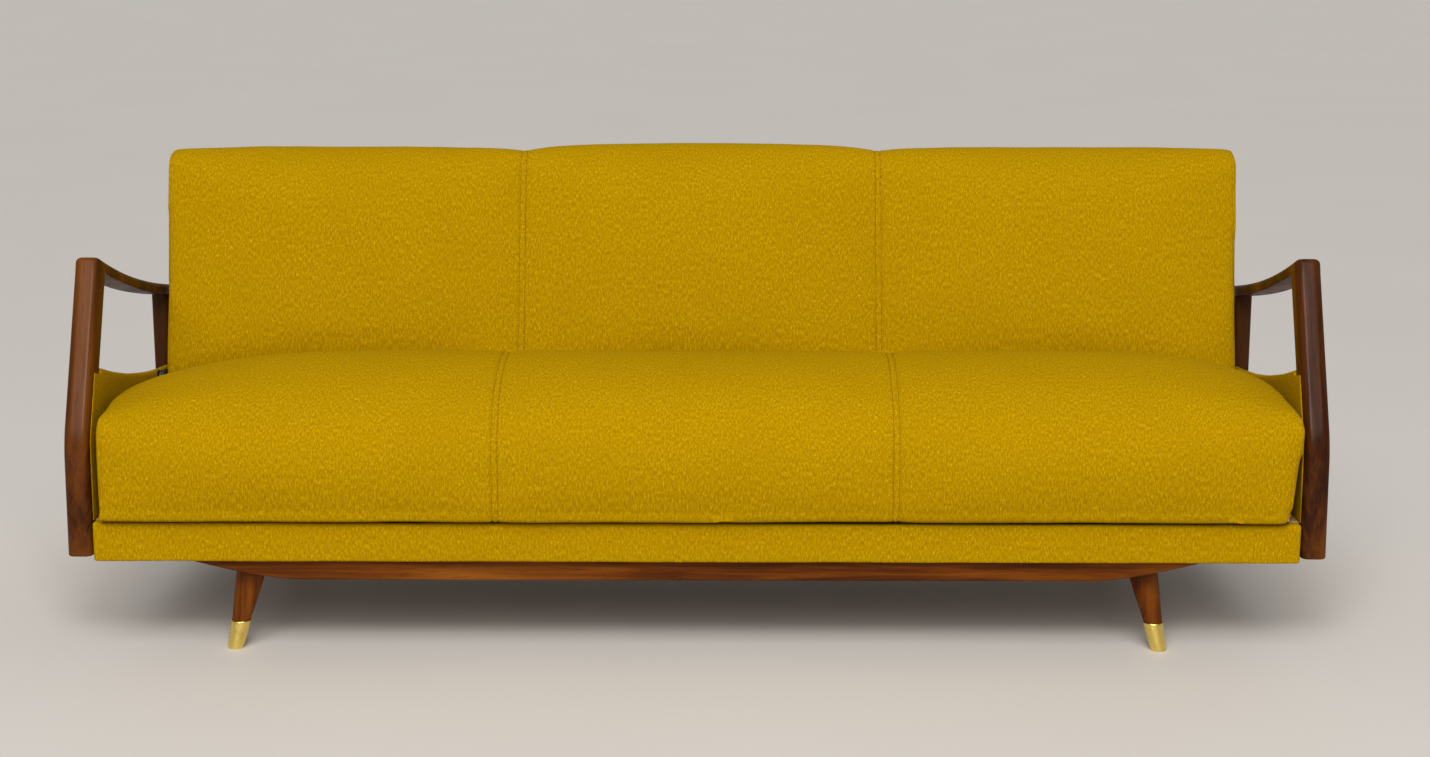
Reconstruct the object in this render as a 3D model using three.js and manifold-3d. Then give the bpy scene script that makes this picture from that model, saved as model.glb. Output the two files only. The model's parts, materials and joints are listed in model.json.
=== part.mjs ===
// Fold-out sofa with a bedding box, wooden arms and splayed legs.
// Millimetres. +X is the sitter's left, +Y points to the rear, +Z is up, and the floor is z = 0.
// While the pieces are made, y = 0 is the front face of the bedding box; the last lines centre the sofa.

import * as THREE from 'three';
import { mergeVertices } from 'three/addons/utils/BufferGeometryUtils.js';
import Module from 'manifold-3d';

const wasm = await Module();
wasm.setup();

// ---------------------------------------------------------------- driving dimensions

const GAP = 0.3;                 // between pieces that touch

// bedding box
const BOX_WIDTH = 2015;
const BOX_DEPTH = 724;
const BOX_BOTTOM = 165;
const RAIL_HEIGHT = 68;
const RAIL_THICKNESS = 24;
const SIDE_RAIL_THICKNESS = 20;
const FLOOR_THICKNESS = 6;
const BEARER_SIZE = 36;
const BEARER_X = 330;
const BUFFER_SIZE = [40, 18];
const BUFFER_X = 860;

// trim rail under the front of the box
const KEEL_HALF_LENGTH = 856;
const KEEL_FLAT_HALF_LENGTH = 660;
const KEEL_HEIGHT = 35;
const KEEL_THICKNESS = 24;
const KEEL_SETBACK = 16;

// legs
const BLOCK_SIZE = 80;
const BLOCK_HEIGHT = 24;
const BLOCK_X = 748;
const BLOCK_SETBACK = 48;
const LEG_TOP_RADIUS = 27;
const LEG_RADIUS_AT_FERRULE = 15.5;
const LEG_SPLAY_OUT = 29.6;
const LEG_SPLAY_FORE = 26;
const LEG_INSET = 31;            // leg centre behind the block's outer face
const FERRULE_HEIGHT = 47;
const FERRULE_WALL = 1.4;
const FERRULE_FOOT_RADIUS = 13.6;
const FERRULE_SOLE = 3;

// arms
const POST_WIDTH = 42;
const POST_DEPTH = 50;
const POST_BOTTOM = 175;
const KNEE_HEIGHT = 368;
const KNEE_ROUND = 20;
const POST_LEAN = THREE.MathUtils.degToRad(24.6);
const POST_FOOT_OFFSET = -6;     // foot in front of the knee
const ARM_HEIGHT = 661;
const ARM_THICKNESS = 20;
const ARM_REAR_HEIGHT = 529;
const ARM_BULGE = 12;            // the armrest is wider than its post in the middle
const ARM_BEND = [0.43, 0.62];   // where its curve turns: share of its length, share of its fall
const REAR_POST_Y = 612;
const REAR_POST_WIDTH = 34;
const REAR_POST_DEPTH = 46;
const REAR_POST_FOOT_DEPTH = 36;
const EDGE_ROUND = 6;

// upholstered side panels, between and inside the posts
const PANEL_SKIN = 6;
const PANEL_CORE = 14;
const PANEL_TOP_FRONT = 476;
const PANEL_TOP_SAG = 26;
const PANEL_TOP_REAR = 384;
const PANEL_SETBACK = 12;        // panel's front edge behind the post's front face
const BOLT_RADIUS = 4;
const BOLT_HEAD_RADIUS = 9;
const BOLT_HEAD = 5;
const BOLT_GRIP = 20;            // length of the bolt inside a post

// cushions
const CUSHION_SIDE_GAP = 5.8;    // cushion to side panel
const SKIRT = 12;                // padding beside the frames
const SEAT_CLEARANCE = 6;        // seat bottom above the box rails
const SEAT_OVERHANG = 20;
const SEAT_DEPTH = 504;
const SEAT_EDGE_HEIGHT = 176;
const SEAT_REAR_FALL = 27;       // the rear edge is lower than the front edge
const SEAT_CROWN = 66;
const SEAT_CROWN_Y = 255;        // where the crown is highest
const SEAT_CROWN_REACH = 275;    // from there to where it ends
const BACK_HEIGHT = 460;
const BACK_THICKNESS = 130;
const BACK_CROWN = 12;
const CROWN_FADE = 7;            // power with which a crown fades towards a pad's ends
const BACK_LEAN = THREE.MathUtils.degToRad(18.4);

// pivot line of seat and back, from the seat's rear top corner
const PIVOT_BEHIND_SEAT = 21;
const PIVOT_BELOW_SEAT_TOP = 40;
const BACK_FACE_TO_PIVOT = 16.6;
const BACK_FOOT_TO_PIVOT = 13;

// frames inside the cushions
const FRAME_BAR = 28;
const SEAT_FRAME_HEIGHT = 44;
const BACK_FRAME_DEPTH = 42;
const COVER_THICKNESS = 1.2;
const SPRING_COUNT = 5;
const SPRING_RADIUS = 1.9;
const SPRING_SWAY = 24;
const SPRING_WAVES = 6;
const WEB_WIDTH = 50;
const WEB_THICKNESS = 3;
const WEB_COLUMNS = 8;
const WEB_ROWS = 2;

// hinge fittings
const STEEL = 3;
const FITTING_GAP = 1;           // running gap between the plates
const PIN_RADIUS = 5;
const PIN_CLEARANCE = 0.3;
const COLLAR_RADIUS = 9;
const EYE_RADIUS = 18;
const COLLAR_LENGTH = 3;
const PLATE_FOOT_WIDTH = 110;
const SEAT_ARM_LENGTH = 111;     // level distance from the pivot to the arm's front end
const FITTING_SWING = 80;        // room in front of the pivot for the turning fittings
const SCREW_HOLE_RADIUS = 3;

// ---------------------------------------------------------------- sizes that follow

const boxHalf = BOX_WIDTH / 2;
const postInner = boxHalf + GAP;
const postOuter = postInner + POST_WIDTH;
const railTop = BOX_BOTTOM + RAIL_HEIGHT;
const floorTop = BOX_BOTTOM + FLOOR_THICKNESS;
const blockBottom = BOX_BOTTOM - BLOCK_HEIGHT;
const panelInner = postInner - PANEL_SKIN;
const cushionHalf = panelInner - CUSHION_SIDE_GAP;
const seatBottom = railTop + SEAT_CLEARANCE;
const seatRear = SEAT_DEPTH - SEAT_OVERHANG;
const seatEdgeTop = seatBottom + SEAT_EDGE_HEIGHT;
const pivot = { y: seatRear + PIVOT_BEHIND_SEAT, z: seatEdgeTop - PIVOT_BELOW_SEAT_TOP };
const fittingX = {
  seatArm: [cushionHalf + GAP, cushionHalf + GAP + STEEL],
  backArm: [cushionHalf + GAP + STEEL + FITTING_GAP, cushionHalf + GAP + 2 * STEEL + FITTING_GAP],
};
const plateX = fittingX.backArm[1] + COLLAR_LENGTH + 2 * GAP;
fittingX.plate = [plateX, plateX + STEEL];
const leanTan = Math.tan(POST_LEAN);
const armFrontY = (ARM_HEIGHT - KNEE_HEIGHT) * leanTan;
const armRearY = REAR_POST_Y + REAR_POST_DEPTH + EDGE_ROUND;

// ---------------------------------------------------------------- finishes

function finish(color, roughness, metalness = 0) {
  return new THREE.MeshStandardMaterial({ color, roughness, metalness });
}

const fabric = finish(0xb58a0a, 0.95);
const walnut = finish(0x5a2a14, 0.35);
const beech = finish(0xc39a63, 0.7);
const hardboard = finish(0x7a5736, 0.85);
const brass = finish(0xd8b04a, 0.25, 1);
const steel = finish(0x8d9094, 0.4, 1);
const webbing = finish(0x6b5a3c, 0.95);
const blackCloth = finish(0x26241f, 1);
const felt = finish(0x3a3a38, 1);

// ---------------------------------------------------------------- helpers

const sofa = new THREE.Group();

function add(name, geometry, material, parent = sofa) {
  const mesh = new THREE.Mesh(geometry, material);
  mesh.name = name;
  parent.add(mesh);
  return mesh;
}

/** A box between two values on each axis. */
function block(x, y, z) {
  const geometry = new THREE.BoxGeometry(x[1] - x[0], y[1] - y[0], z[1] - z[0]);
  return geometry.translate((x[0] + x[1]) / 2, (y[0] + y[1]) / 2, (z[0] + z[1]) / 2);
}

/** A closed outline of corners [a, b, radius], each rounded by its radius where it has one. */
function outline(corners) {
  const shape = new THREE.Shape();
  const at = (i) => new THREE.Vector2(...corners[(i + corners.length) % corners.length].slice(0, 2));
  corners.forEach(([, , radius = 0], i) => {
    const corner = at(i);
    const towards = (other) => corner.clone().add(other.sub(corner).setLength(radius));
    const enter = radius ? towards(at(i - 1)) : corner;
    if (i === 0) shape.moveTo(enter.x, enter.y);
    else shape.lineTo(enter.x, enter.y);
    if (radius) {
      const leave = towards(at(i + 1));
      shape.quadraticCurveTo(corner.x, corner.y, leave.x, leave.y);
    }
  });
  shape.closePath();
  return shape;
}

const circle = (a, b, radius) => new THREE.Path().absarc(a, b, radius, 0, Math.PI * 2, true);
const yzToWorld = new THREE.Matrix4().makeBasis(
  new THREE.Vector3(0, 1, 0), new THREE.Vector3(0, 0, 1), new THREE.Vector3(1, 0, 0));
const xzToWorld = new THREE.Matrix4().makeBasis(
  new THREE.Vector3(1, 0, 0), new THREE.Vector3(0, 0, 1), new THREE.Vector3(0, -1, 0));

/** A shape in the y-z plane, drawn out along X from x0 to x1, with rounded edges if asked. */
function acrossX(shape, x0, x1, { round = 0, steps = 1, curveSegments = 4 } = {}) {
  const geometry = new THREE.ExtrudeGeometry(shape, {
    depth: x1 - x0 - 2 * round, steps, curveSegments,
    bevelEnabled: round > 0, bevelSize: round, bevelThickness: round, bevelOffset: -round, bevelSegments: 2,
  });
  return geometry.applyMatrix4(yzToWorld).translate(x0 + round, 0, 0);
}

/** The same geometry on the other side of the sofa, with its faces turned the right way again. */
function mirrored(geometry) {
  const plain = geometry.index ? geometry.toNonIndexed() : geometry.clone();
  plain.applyMatrix4(new THREE.Matrix4().makeScale(-1, 1, 1));
  const position = plain.attributes.position;
  for (let i = 0; i < position.count; i += 3) {
    const [a, b] = [1, 2].map((k) => new THREE.Vector3().fromBufferAttribute(position, i + k));
    position.setXYZ(i + 1, b.x, b.y, b.z);
    position.setXYZ(i + 2, a.x, a.y, a.z);
  }
  const result = new THREE.BufferGeometry();
  result.setAttribute('position', position);
  return result;
}

/** One piece on +X, called NAME_right, and its mirror image on -X, called NAME_left. */
function addPair(name, geometry, material, parent = sofa) {
  add(`${name}_right`, geometry, material, parent);
  add(`${name}_left`, mirrored(geometry), material, parent);
}

function toSolid(geometry) {
  const bare = new THREE.BufferGeometry();
  bare.setAttribute('position', geometry.attributes.position.clone());
  if (geometry.index) bare.setIndex(geometry.index.clone());
  const merged = mergeVertices(bare, 1e-4);
  return new wasm.Manifold(new wasm.Mesh({
    numProp: 3,
    vertProperties: new Float32Array(merged.attributes.position.array),
    triVerts: new Uint32Array(merged.index.array),
  }));
}

function toGeometry(solid) {
  const mesh = solid.getMesh();
  const geometry = new THREE.BufferGeometry();
  geometry.setAttribute('position', new THREE.BufferAttribute(new Float32Array(mesh.vertProperties), 3));
  geometry.setIndex(new THREE.BufferAttribute(new Uint32Array(mesh.triVerts), 1));
  return geometry;
}

function cut(geometry, ...tools) {
  return toGeometry(tools.map(toSolid).reduce((a, b) => a.subtract(b), toSolid(geometry)));
}

function join(geometry, ...others) {
  return toGeometry(others.map(toSolid).reduce((a, b) => a.add(b), toSolid(geometry)));
}

/** A round bar along X. */
function barX(x0, x1, y, z, radius, segments = 20) {
  const geometry = new THREE.CylinderGeometry(radius, radius, x1 - x0, segments).rotateZ(Math.PI / 2);
  return geometry.translate((x0 + x1) / 2, y, z);
}

/** A flat bar of steel in the y-z plane with round ends, and an eye at its first end. */
function strap(from, to, radius, eye) {
  const along = new THREE.Vector2(to.y - from.y, to.z - from.z);
  const angle = along.angle();
  const shape = new THREE.Shape();
  shape.absarc(from.y, from.z, radius, angle + Math.PI / 2, angle + Math.PI * 1.5, false);
  shape.absarc(to.y, to.z, radius * 0.8, angle - Math.PI / 2, angle + Math.PI / 2, false);
  shape.closePath();
  shape.holes.push(circle(from.y, from.z, eye));
  return shape;
}

// ---------------------------------------------------------------- bedding box

function makeBox() {
  const z = [BOX_BOTTOM, railTop];
  const inside = [RAIL_THICKNESS + GAP, BOX_DEPTH - RAIL_THICKNESS - GAP];
  const sideInner = boxHalf - SIDE_RAIL_THICKNESS;
  add('front_rail', block([-boxHalf, boxHalf], [0, RAIL_THICKNESS], z), fabric);
  add('rear_rail', block([-boxHalf, boxHalf], [BOX_DEPTH - RAIL_THICKNESS, BOX_DEPTH], z), fabric);
  const boltHoles = boltPlaces.map((y) => barX(sideInner - 1, boxHalf + 1, y, boltHeight, BOLT_RADIUS + GAP));
  addPair('side_rail', cut(block([sideInner, boxHalf], inside, z), ...boltHoles), beech);
  const floorHalf = sideInner - GAP;
  add('box_floor', block([-floorHalf, floorHalf], inside, [BOX_BOTTOM, floorTop]), hardboard);

  const underside = BOX_BOTTOM - GAP;
  const half = BEARER_SIZE / 2;
  addPair('floor_bearer', block(
    [BEARER_X - half, BEARER_X + half], [KEEL_SETBACK + KEEL_THICKNESS + GAP, BOX_DEPTH],
    [underside - BEARER_SIZE, underside]), beech);
  const [length, width] = BUFFER_SIZE;
  addPair('seat_buffer', block(
    [BUFFER_X, BUFFER_X + length], [(RAIL_THICKNESS - width) / 2, (RAIL_THICKNESS + width) / 2],
    [railTop + GAP, seatBottom - GAP]), felt);

  const keel = new THREE.Shape();
  const keelBottom = underside - KEEL_HEIGHT;
  const bend = KEEL_FLAT_HALF_LENGTH + (KEEL_HALF_LENGTH - KEEL_FLAT_HALF_LENGTH) / 3;
  keel.moveTo(-KEEL_HALF_LENGTH, underside);
  keel.quadraticCurveTo(-bend, keelBottom, -KEEL_FLAT_HALF_LENGTH, keelBottom);
  keel.lineTo(KEEL_FLAT_HALF_LENGTH, keelBottom);
  keel.quadraticCurveTo(bend, keelBottom, KEEL_HALF_LENGTH, underside);
  keel.closePath();
  const rail = new THREE.ExtrudeGeometry(keel, { depth: KEEL_THICKNESS, bevelEnabled: false, curveSegments: 8 })
    .applyMatrix4(xzToWorld).translate(0, KEEL_SETBACK + KEEL_THICKNESS, 0);
  add('keel_rail', rail, walnut);
}

// ---------------------------------------------------------------- legs

/** Leans an upright geometry on the z axis so that it runs from its foot to its top. */
function lean(geometry, foot, top, height) {
  const dx = (top.x - foot.x) / height;
  const dy = (top.y - foot.y) / height;
  return geometry.applyMatrix4(new THREE.Matrix4().set(
    1, 0, dx, foot.x, 0, 1, dy, foot.y, 0, 0, 1, 0, 0, 0, 0, 1));
}

/** A solid turned round the z axis from [radius, z] points. */
function upright(profile) {
  return new THREE.LatheGeometry(profile.map(([r, z]) => new THREE.Vector2(r, z)), 24).rotateX(Math.PI / 2);
}

function makeLegs() {
  const legTop = blockBottom - GAP;
  const taper = (LEG_TOP_RADIUS - LEG_RADIUS_AT_FERRULE) / (legTop - FERRULE_HEIGHT);
  const legRadius = (z) => LEG_TOP_RADIUS - taper * (legTop - z);
  const legFoot = FERRULE_SOLE + GAP;
  const mouth = legRadius(FERRULE_HEIGHT) + GAP;
  const cupFoot = legRadius(legFoot) + GAP;
  const corners = { front: [BLOCK_SETBACK, 1], rear: [BOX_DEPTH - BLOCK_SETBACK, -1] };
  for (const [end, [face, inward]] of Object.entries(corners)) {
    const y = [face, face + inward * BLOCK_SIZE].sort((a, b) => a - b);
    const x = [BLOCK_X - BLOCK_SIZE / 2, BLOCK_X + BLOCK_SIZE / 2];
    addPair(`leg_block_${end}`, block(x, y, [blockBottom, BOX_BOTTOM - GAP]), beech);
    const top = { x: BLOCK_X + BLOCK_SIZE / 2 - LEG_INSET - GAP, y: face + inward * LEG_INSET };
    const foot = { x: top.x + LEG_SPLAY_OUT, y: top.y - inward * LEG_SPLAY_FORE };
    const wood = upright([
      [0, legFoot], [legRadius(legFoot), legFoot], [LEG_TOP_RADIUS, legTop], [0, legTop]]);
    const cup = upright([
      [0, 0], [FERRULE_FOOT_RADIUS, 0], [mouth + FERRULE_WALL, FERRULE_HEIGHT],
      [mouth, FERRULE_HEIGHT], [cupFoot, FERRULE_SOLE], [0, FERRULE_SOLE]]);
    addPair(`leg_${end}`, lean(wood, foot, top, legTop), walnut);
    addPair(`ferrule_${end}`, lean(cup, foot, top, legTop), brass);
  }
}

// ---------------------------------------------------------------- arms

const boltHeight = BOX_BOTTOM + RAIL_HEIGHT * 0.6;
const boltPlaces = [POST_DEPTH - 15, REAR_POST_Y + REAR_POST_DEPTH / 2];
const postDepthLevel = POST_DEPTH / Math.cos(POST_LEAN);   // the leaning part's depth, measured level

/** The armrest's top line: a shallow curve, steep at the front and flatter to the rear. */
const armStart = new THREE.Vector2(armFrontY, ARM_HEIGHT);
const armEnd = new THREE.Vector2(armRearY, ARM_REAR_HEIGHT);
const armReach = armEnd.clone().sub(armStart);
const armTop = new THREE.QuadraticBezierCurve(
  armStart, armStart.clone().add(armReach.clone().multiply(new THREE.Vector2(...ARM_BEND))), armEnd);

/** Height of the armrest's underside above a given y. */
function armUnderside(y) {
  let low = 0;
  let high = 1;
  for (let i = 0; i < 30; i += 1) {
    const middle = (low + high) / 2;
    if (armTop.getPoint(middle).x < y) low = middle;
    else high = middle;
  }
  return armTop.getPoint(low).y - ARM_THICKNESS;
}

function armrest() {
  const top = armTop.getPoints(12);
  const shape = new THREE.Shape();
  shape.moveTo(armFrontY - ARM_THICKNESS * leanTan, ARM_HEIGHT - ARM_THICKNESS);
  top.forEach((point) => shape.lineTo(point.x, point.y));
  top.slice(1).reverse().forEach((point) => shape.lineTo(point.x, point.y - ARM_THICKNESS));
  shape.closePath();
  const geometry = acrossX(shape, postInner, postOuter, { round: EDGE_ROUND });
  const position = geometry.attributes.position;
  for (let i = 0; i < position.count; i += 1) {
    const along = THREE.MathUtils.clamp((position.getY(i) - armFrontY) / armReach.x, 0, 1);
    const outward = (position.getX(i) - postInner) / POST_WIDTH;
    const shift = ARM_BULGE * Math.sin(Math.PI * along) - (POST_WIDTH - REAR_POST_WIDTH) * along;
    position.setX(i, position.getX(i) + shift * outward);
  }
  return geometry;
}

function frontPost() {
  // The head is cut along the armrest's underside, which falls away to the rear.
  const start = armTop.getPoint(0);
  const next = armTop.getPoint(0.02);
  const fall = (start.y - next.y) / (next.x - start.x);
  const head = { y: armFrontY - ARM_THICKNESS * leanTan, z: ARM_HEIGHT - ARM_THICKNESS - GAP };
  const drop = postDepthLevel * fall / (1 + leanTan * fall);
  const kneeDrop = POST_DEPTH * Math.tan(POST_LEAN / 2);
  return acrossX(outline([
    [POST_FOOT_OFFSET, POST_BOTTOM], [POST_FOOT_OFFSET + POST_DEPTH, POST_BOTTOM],
    [POST_DEPTH, KNEE_HEIGHT - kneeDrop, KNEE_ROUND],
    [head.y + postDepthLevel - drop * leanTan, head.z - drop],
    [head.y, head.z], [0, KNEE_HEIGHT, KNEE_ROUND]]), postInner, postOuter, { round: EDGE_ROUND });
}

function rearPost() {
  const rear = REAR_POST_Y + REAR_POST_DEPTH;
  const foot = REAR_POST_Y + (REAR_POST_DEPTH - REAR_POST_FOOT_DEPTH) / 2;
  return acrossX(outline([
    [foot, POST_BOTTOM], [foot + REAR_POST_FOOT_DEPTH, POST_BOTTOM],
    [rear, armUnderside(rear) - GAP], [REAR_POST_Y, armUnderside(REAR_POST_Y) - GAP]]),
  postInner, postInner + REAR_POST_WIDTH, { round: EDGE_ROUND });
}

/** Y of the front post's front face at a height. */
function postFace(z) {
  if (z > KNEE_HEIGHT) return (z - KNEE_HEIGHT) * leanTan;
  return POST_FOOT_OFFSET * (KNEE_HEIGHT - z) / (KNEE_HEIGHT - POST_BOTTOM);
}

/** The panel's outline from a front line to a rear edge, with its sagging top line. */
function panelOutline(front, rear, bottom) {
  const shape = new THREE.Shape();
  const topFront = front(PANEL_TOP_FRONT);
  const lowPoint = (PANEL_TOP_FRONT + PANEL_TOP_REAR) / 2 - PANEL_TOP_SAG;
  shape.moveTo(front(bottom), bottom);
  shape.lineTo(rear, bottom);
  shape.lineTo(rear, PANEL_TOP_REAR);
  shape.quadraticCurveTo((topFront + rear) / 2, lowPoint, topFront, PANEL_TOP_FRONT);
  shape.lineTo(front(KNEE_HEIGHT), KNEE_HEIGHT);
  shape.closePath();
  return shape;
}

/** A skin that laps inside the front post, a thick core, and behind it the room for the hinge fittings. */
function sidePanel() {
  const behindPost = (z) => postFace(z) + postDepthLevel + 2 * GAP;
  const insidePost = (z) => postFace(z) + PANEL_SETBACK;
  const part = (front, bottom, x0, x1) => acrossX(
    panelOutline(front, REAR_POST_Y - GAP, bottom), x0, x1, { curveSegments: 8 });
  const bottom = railTop + GAP;
  const coreEnd = postInner + PANEL_CORE;
  const skin = part(insidePost, bottom, panelInner, postInner - GAP);
  const core = part(behindPost, bottom, panelInner + 1, coreEnd);
  const apron = part(behindPost, POST_BOTTOM, postInner, coreEnd);
  const roomX = [panelInner - 1, fittingX.plate[1] + GAP];
  const room = block(roomX, [pivot.y - FITTING_SWING, REAR_POST_Y], [bottom - 1, PANEL_TOP_FRONT]);
  return cut(join(skin, core, apron), room);
}

function makeArms() {
  const boltEnd = postInner + BOLT_GRIP;
  const bore = (y) => barX(postInner - 1, boltEnd + GAP, y, boltHeight, BOLT_RADIUS + GAP);
  addPair('front_post', cut(frontPost(), bore(boltPlaces[0])), walnut);
  addPair('rear_post', cut(rearPost(), bore(boltPlaces[1])), walnut);
  addPair('armrest', armrest(), walnut);
  addPair('side_panel', sidePanel(), fabric);
  const headEnd = boxHalf - SIDE_RAIL_THICKNESS - GAP;
  ['front', 'rear'].forEach((end, i) => {
    const shank = barX(headEnd - 1, boltEnd, boltPlaces[i], boltHeight, BOLT_RADIUS, 16);
    const head = barX(headEnd - BOLT_HEAD, headEnd, boltPlaces[i], boltHeight, BOLT_HEAD_RADIUS, 6);
    addPair(`post_bolt_${end}`, join(shank, head), steel);
  });
}

// ---------------------------------------------------------------- hinge fittings

function makeHingeBase() {
  const half = PLATE_FOOT_WIDTH / 2;
  const foot = railTop + 2 * EDGE_ROUND;
  const shape = new THREE.Shape();
  shape.absarc(pivot.y, pivot.z, EYE_RADIUS, 0, Math.PI, false);
  shape.lineTo(pivot.y - half, foot + half);
  shape.lineTo(pivot.y - half, foot);
  shape.lineTo(pivot.y + half, foot);
  shape.lineTo(pivot.y + half, foot + half);
  shape.closePath();
  shape.holes.push(circle(pivot.y, pivot.z, PIN_RADIUS + PIN_CLEARANCE));
  [[-0.3, 0.2], [0.3, 0.2], [-0.3, 0.5], [0.3, 0.5]].forEach(([across, up]) => {
    const [y, z] = [pivot.y + across * PLATE_FOOT_WIDTH, foot + up * PLATE_FOOT_WIDTH];
    shape.holes.push(circle(y, z, SCREW_HOLE_RADIUS));
  });
  addPair('hinge_plate', acrossX(shape, ...fittingX.plate, { curveSegments: 10 }), steel);

  const pin = barX(fittingX.seatArm[0], fittingX.plate[1], pivot.y, pivot.z, PIN_RADIUS);
  const collar = barX(fittingX.backArm[1] + GAP, fittingX.plate[0] - GAP, pivot.y, pivot.z, COLLAR_RADIUS);
  addPair('pivot_pin', join(pin, collar), steel);
}

function makeHingeArms() {
  const eye = PIN_RADIUS + PIN_CLEARANCE;
  const seatEnd = { y: pivot.y - SEAT_ARM_LENGTH, z: seatBottom + SEAT_FRAME_HEIGHT / 2 };
  const armTo = (end, x) => acrossX(strap(pivot, end, EYE_RADIUS, eye), ...x, { curveSegments: 10 });
  addPair('seat_hinge_arm', armTo(seatEnd, fittingX.seatArm), steel);
  const onBack = backPlace(BACK_FOOT_TO_PIVOT + FRAME_BAR / 2, BACK_THICKNESS * 0.6);
  const arm = armTo(onBack, fittingX.backArm);
  const boss = barX(fittingX.seatArm[0], fittingX.backArm[0] + 1, onBack.y, onBack.z, EYE_RADIUS * 0.7);
  addPair('back_hinge_arm', join(arm, boss), steel);
}

// ---------------------------------------------------------------- cushions and their frames

/** Raises the middle of a pad that is drawn along X: full at x = 0, nothing at its two ends. */
function crown(geometry, half, rise) {
  const position = geometry.attributes.position;
  for (let i = 0; i < position.count; i += 1) {
    const fade = 1 - Math.min(1, Math.abs(position.getX(i)) / half) ** CROWN_FADE;
    const [y, z] = rise(position.getY(i), position.getZ(i));
    position.setXYZ(i, position.getX(i), position.getY(i) + y * fade, position.getZ(i) + z * fade);
  }
  return geometry;
}

function makeSeat() {
  const front = -SEAT_OVERHANG;
  const profile = outline([
    [front, seatBottom, 4], [seatRear, seatBottom, 6], [seatRear, seatEdgeTop - SEAT_REAR_FALL, 28],
    [SEAT_DEPTH * 0.3, seatEdgeTop + 14, 120], [front, seatEdgeTop - 2, 34]]);
  const pad = crown(acrossX(profile, -cushionHalf, cushionHalf, { steps: 20 }), cushionHalf, (y, z) => {
    const across = Math.max(0, 1 - ((y - SEAT_CROWN_Y) / SEAT_CROWN_REACH) ** 2);
    const up = THREE.MathUtils.clamp((z - seatBottom) / SEAT_EDGE_HEIGHT, 0, 1) ** 3;
    return [0, SEAT_CROWN * across * up];
  });
  const room = { x: cushionHalf - SKIRT, front: front + SKIRT, rear: seatRear - SKIRT };
  const pocketTop = seatBottom + COVER_THICKNESS + SEAT_FRAME_HEIGHT + 2 * SPRING_RADIUS + 4 * GAP;
  const pocket = block([-room.x, room.x], [room.front, room.rear], [seatBottom - 1, pocketTop]);
  add('seat_cushion', cut(pad, pocket), fabric);

  const half = room.x - GAP;
  const y = [room.front + GAP, room.rear - GAP];
  const z = [seatBottom + COVER_THICKNESS + GAP, seatBottom + COVER_THICKNESS + GAP + SEAT_FRAME_HEIGHT];
  add('seat_dust_cover', block([-half, half], y, [seatBottom, seatBottom + COVER_THICKNESS]), blackCloth);
  add('seat_frame_front', block([-half, half], [y[0], y[0] + FRAME_BAR], z), beech);
  add('seat_frame_rear', block([-half, half], [y[1] - FRAME_BAR, y[1]], z), beech);
  addPair('seat_frame', block(
    [half - FRAME_BAR, half], [y[0] + FRAME_BAR + GAP, y[1] - FRAME_BAR - GAP], z), beech);
  makeSprings(half, [y[0] + FRAME_BAR / 2, y[1] - FRAME_BAR / 2], z[1] + GAP + SPRING_RADIUS);
}

/** A zigzag of spring wire that runs to and fro in X while it goes from front to rear. */
class Zigzag extends THREE.Curve {
  constructor(x, y, z) {
    super();
    Object.assign(this, { x, y, z });
  }

  getPoint(t, target = new THREE.Vector3()) {
    const sway = SPRING_SWAY * Math.sin(2 * Math.PI * SPRING_WAVES * t);
    return target.set(this.x + sway, THREE.MathUtils.lerp(this.y[0], this.y[1], t), this.z);
  }
}

function makeSprings(half, y, z) {
  const wire = new THREE.Shape(Array.from({ length: 6 }, (_, i) => {
    const angle = i * Math.PI / 3;
    return new THREE.Vector2(SPRING_RADIUS * Math.cos(angle), SPRING_RADIUS * Math.sin(angle));
  }));
  for (let i = 0; i < SPRING_COUNT; i += 1) {
    const x = half * (2 * (i + 1) / (SPRING_COUNT + 1) - 1);
    const spring = { extrudePath: new Zigzag(x, y, z), steps: SPRING_WAVES * 7 };
    add(`seat_spring_${i + 1}`, new THREE.ExtrudeGeometry(wire, spring), steel);
  }
}

/** A point of the leaning back, from its height along the lean and its depth behind the front face. */
function backPlace(along, depth) {
  const up = along - BACK_FOOT_TO_PIVOT;
  const behind = depth - BACK_FACE_TO_PIVOT;
  return {
    y: pivot.y + up * Math.sin(BACK_LEAN) + behind * Math.cos(BACK_LEAN),
    z: pivot.z + up * Math.cos(BACK_LEAN) - behind * Math.sin(BACK_LEAN),
  };
}

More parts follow.
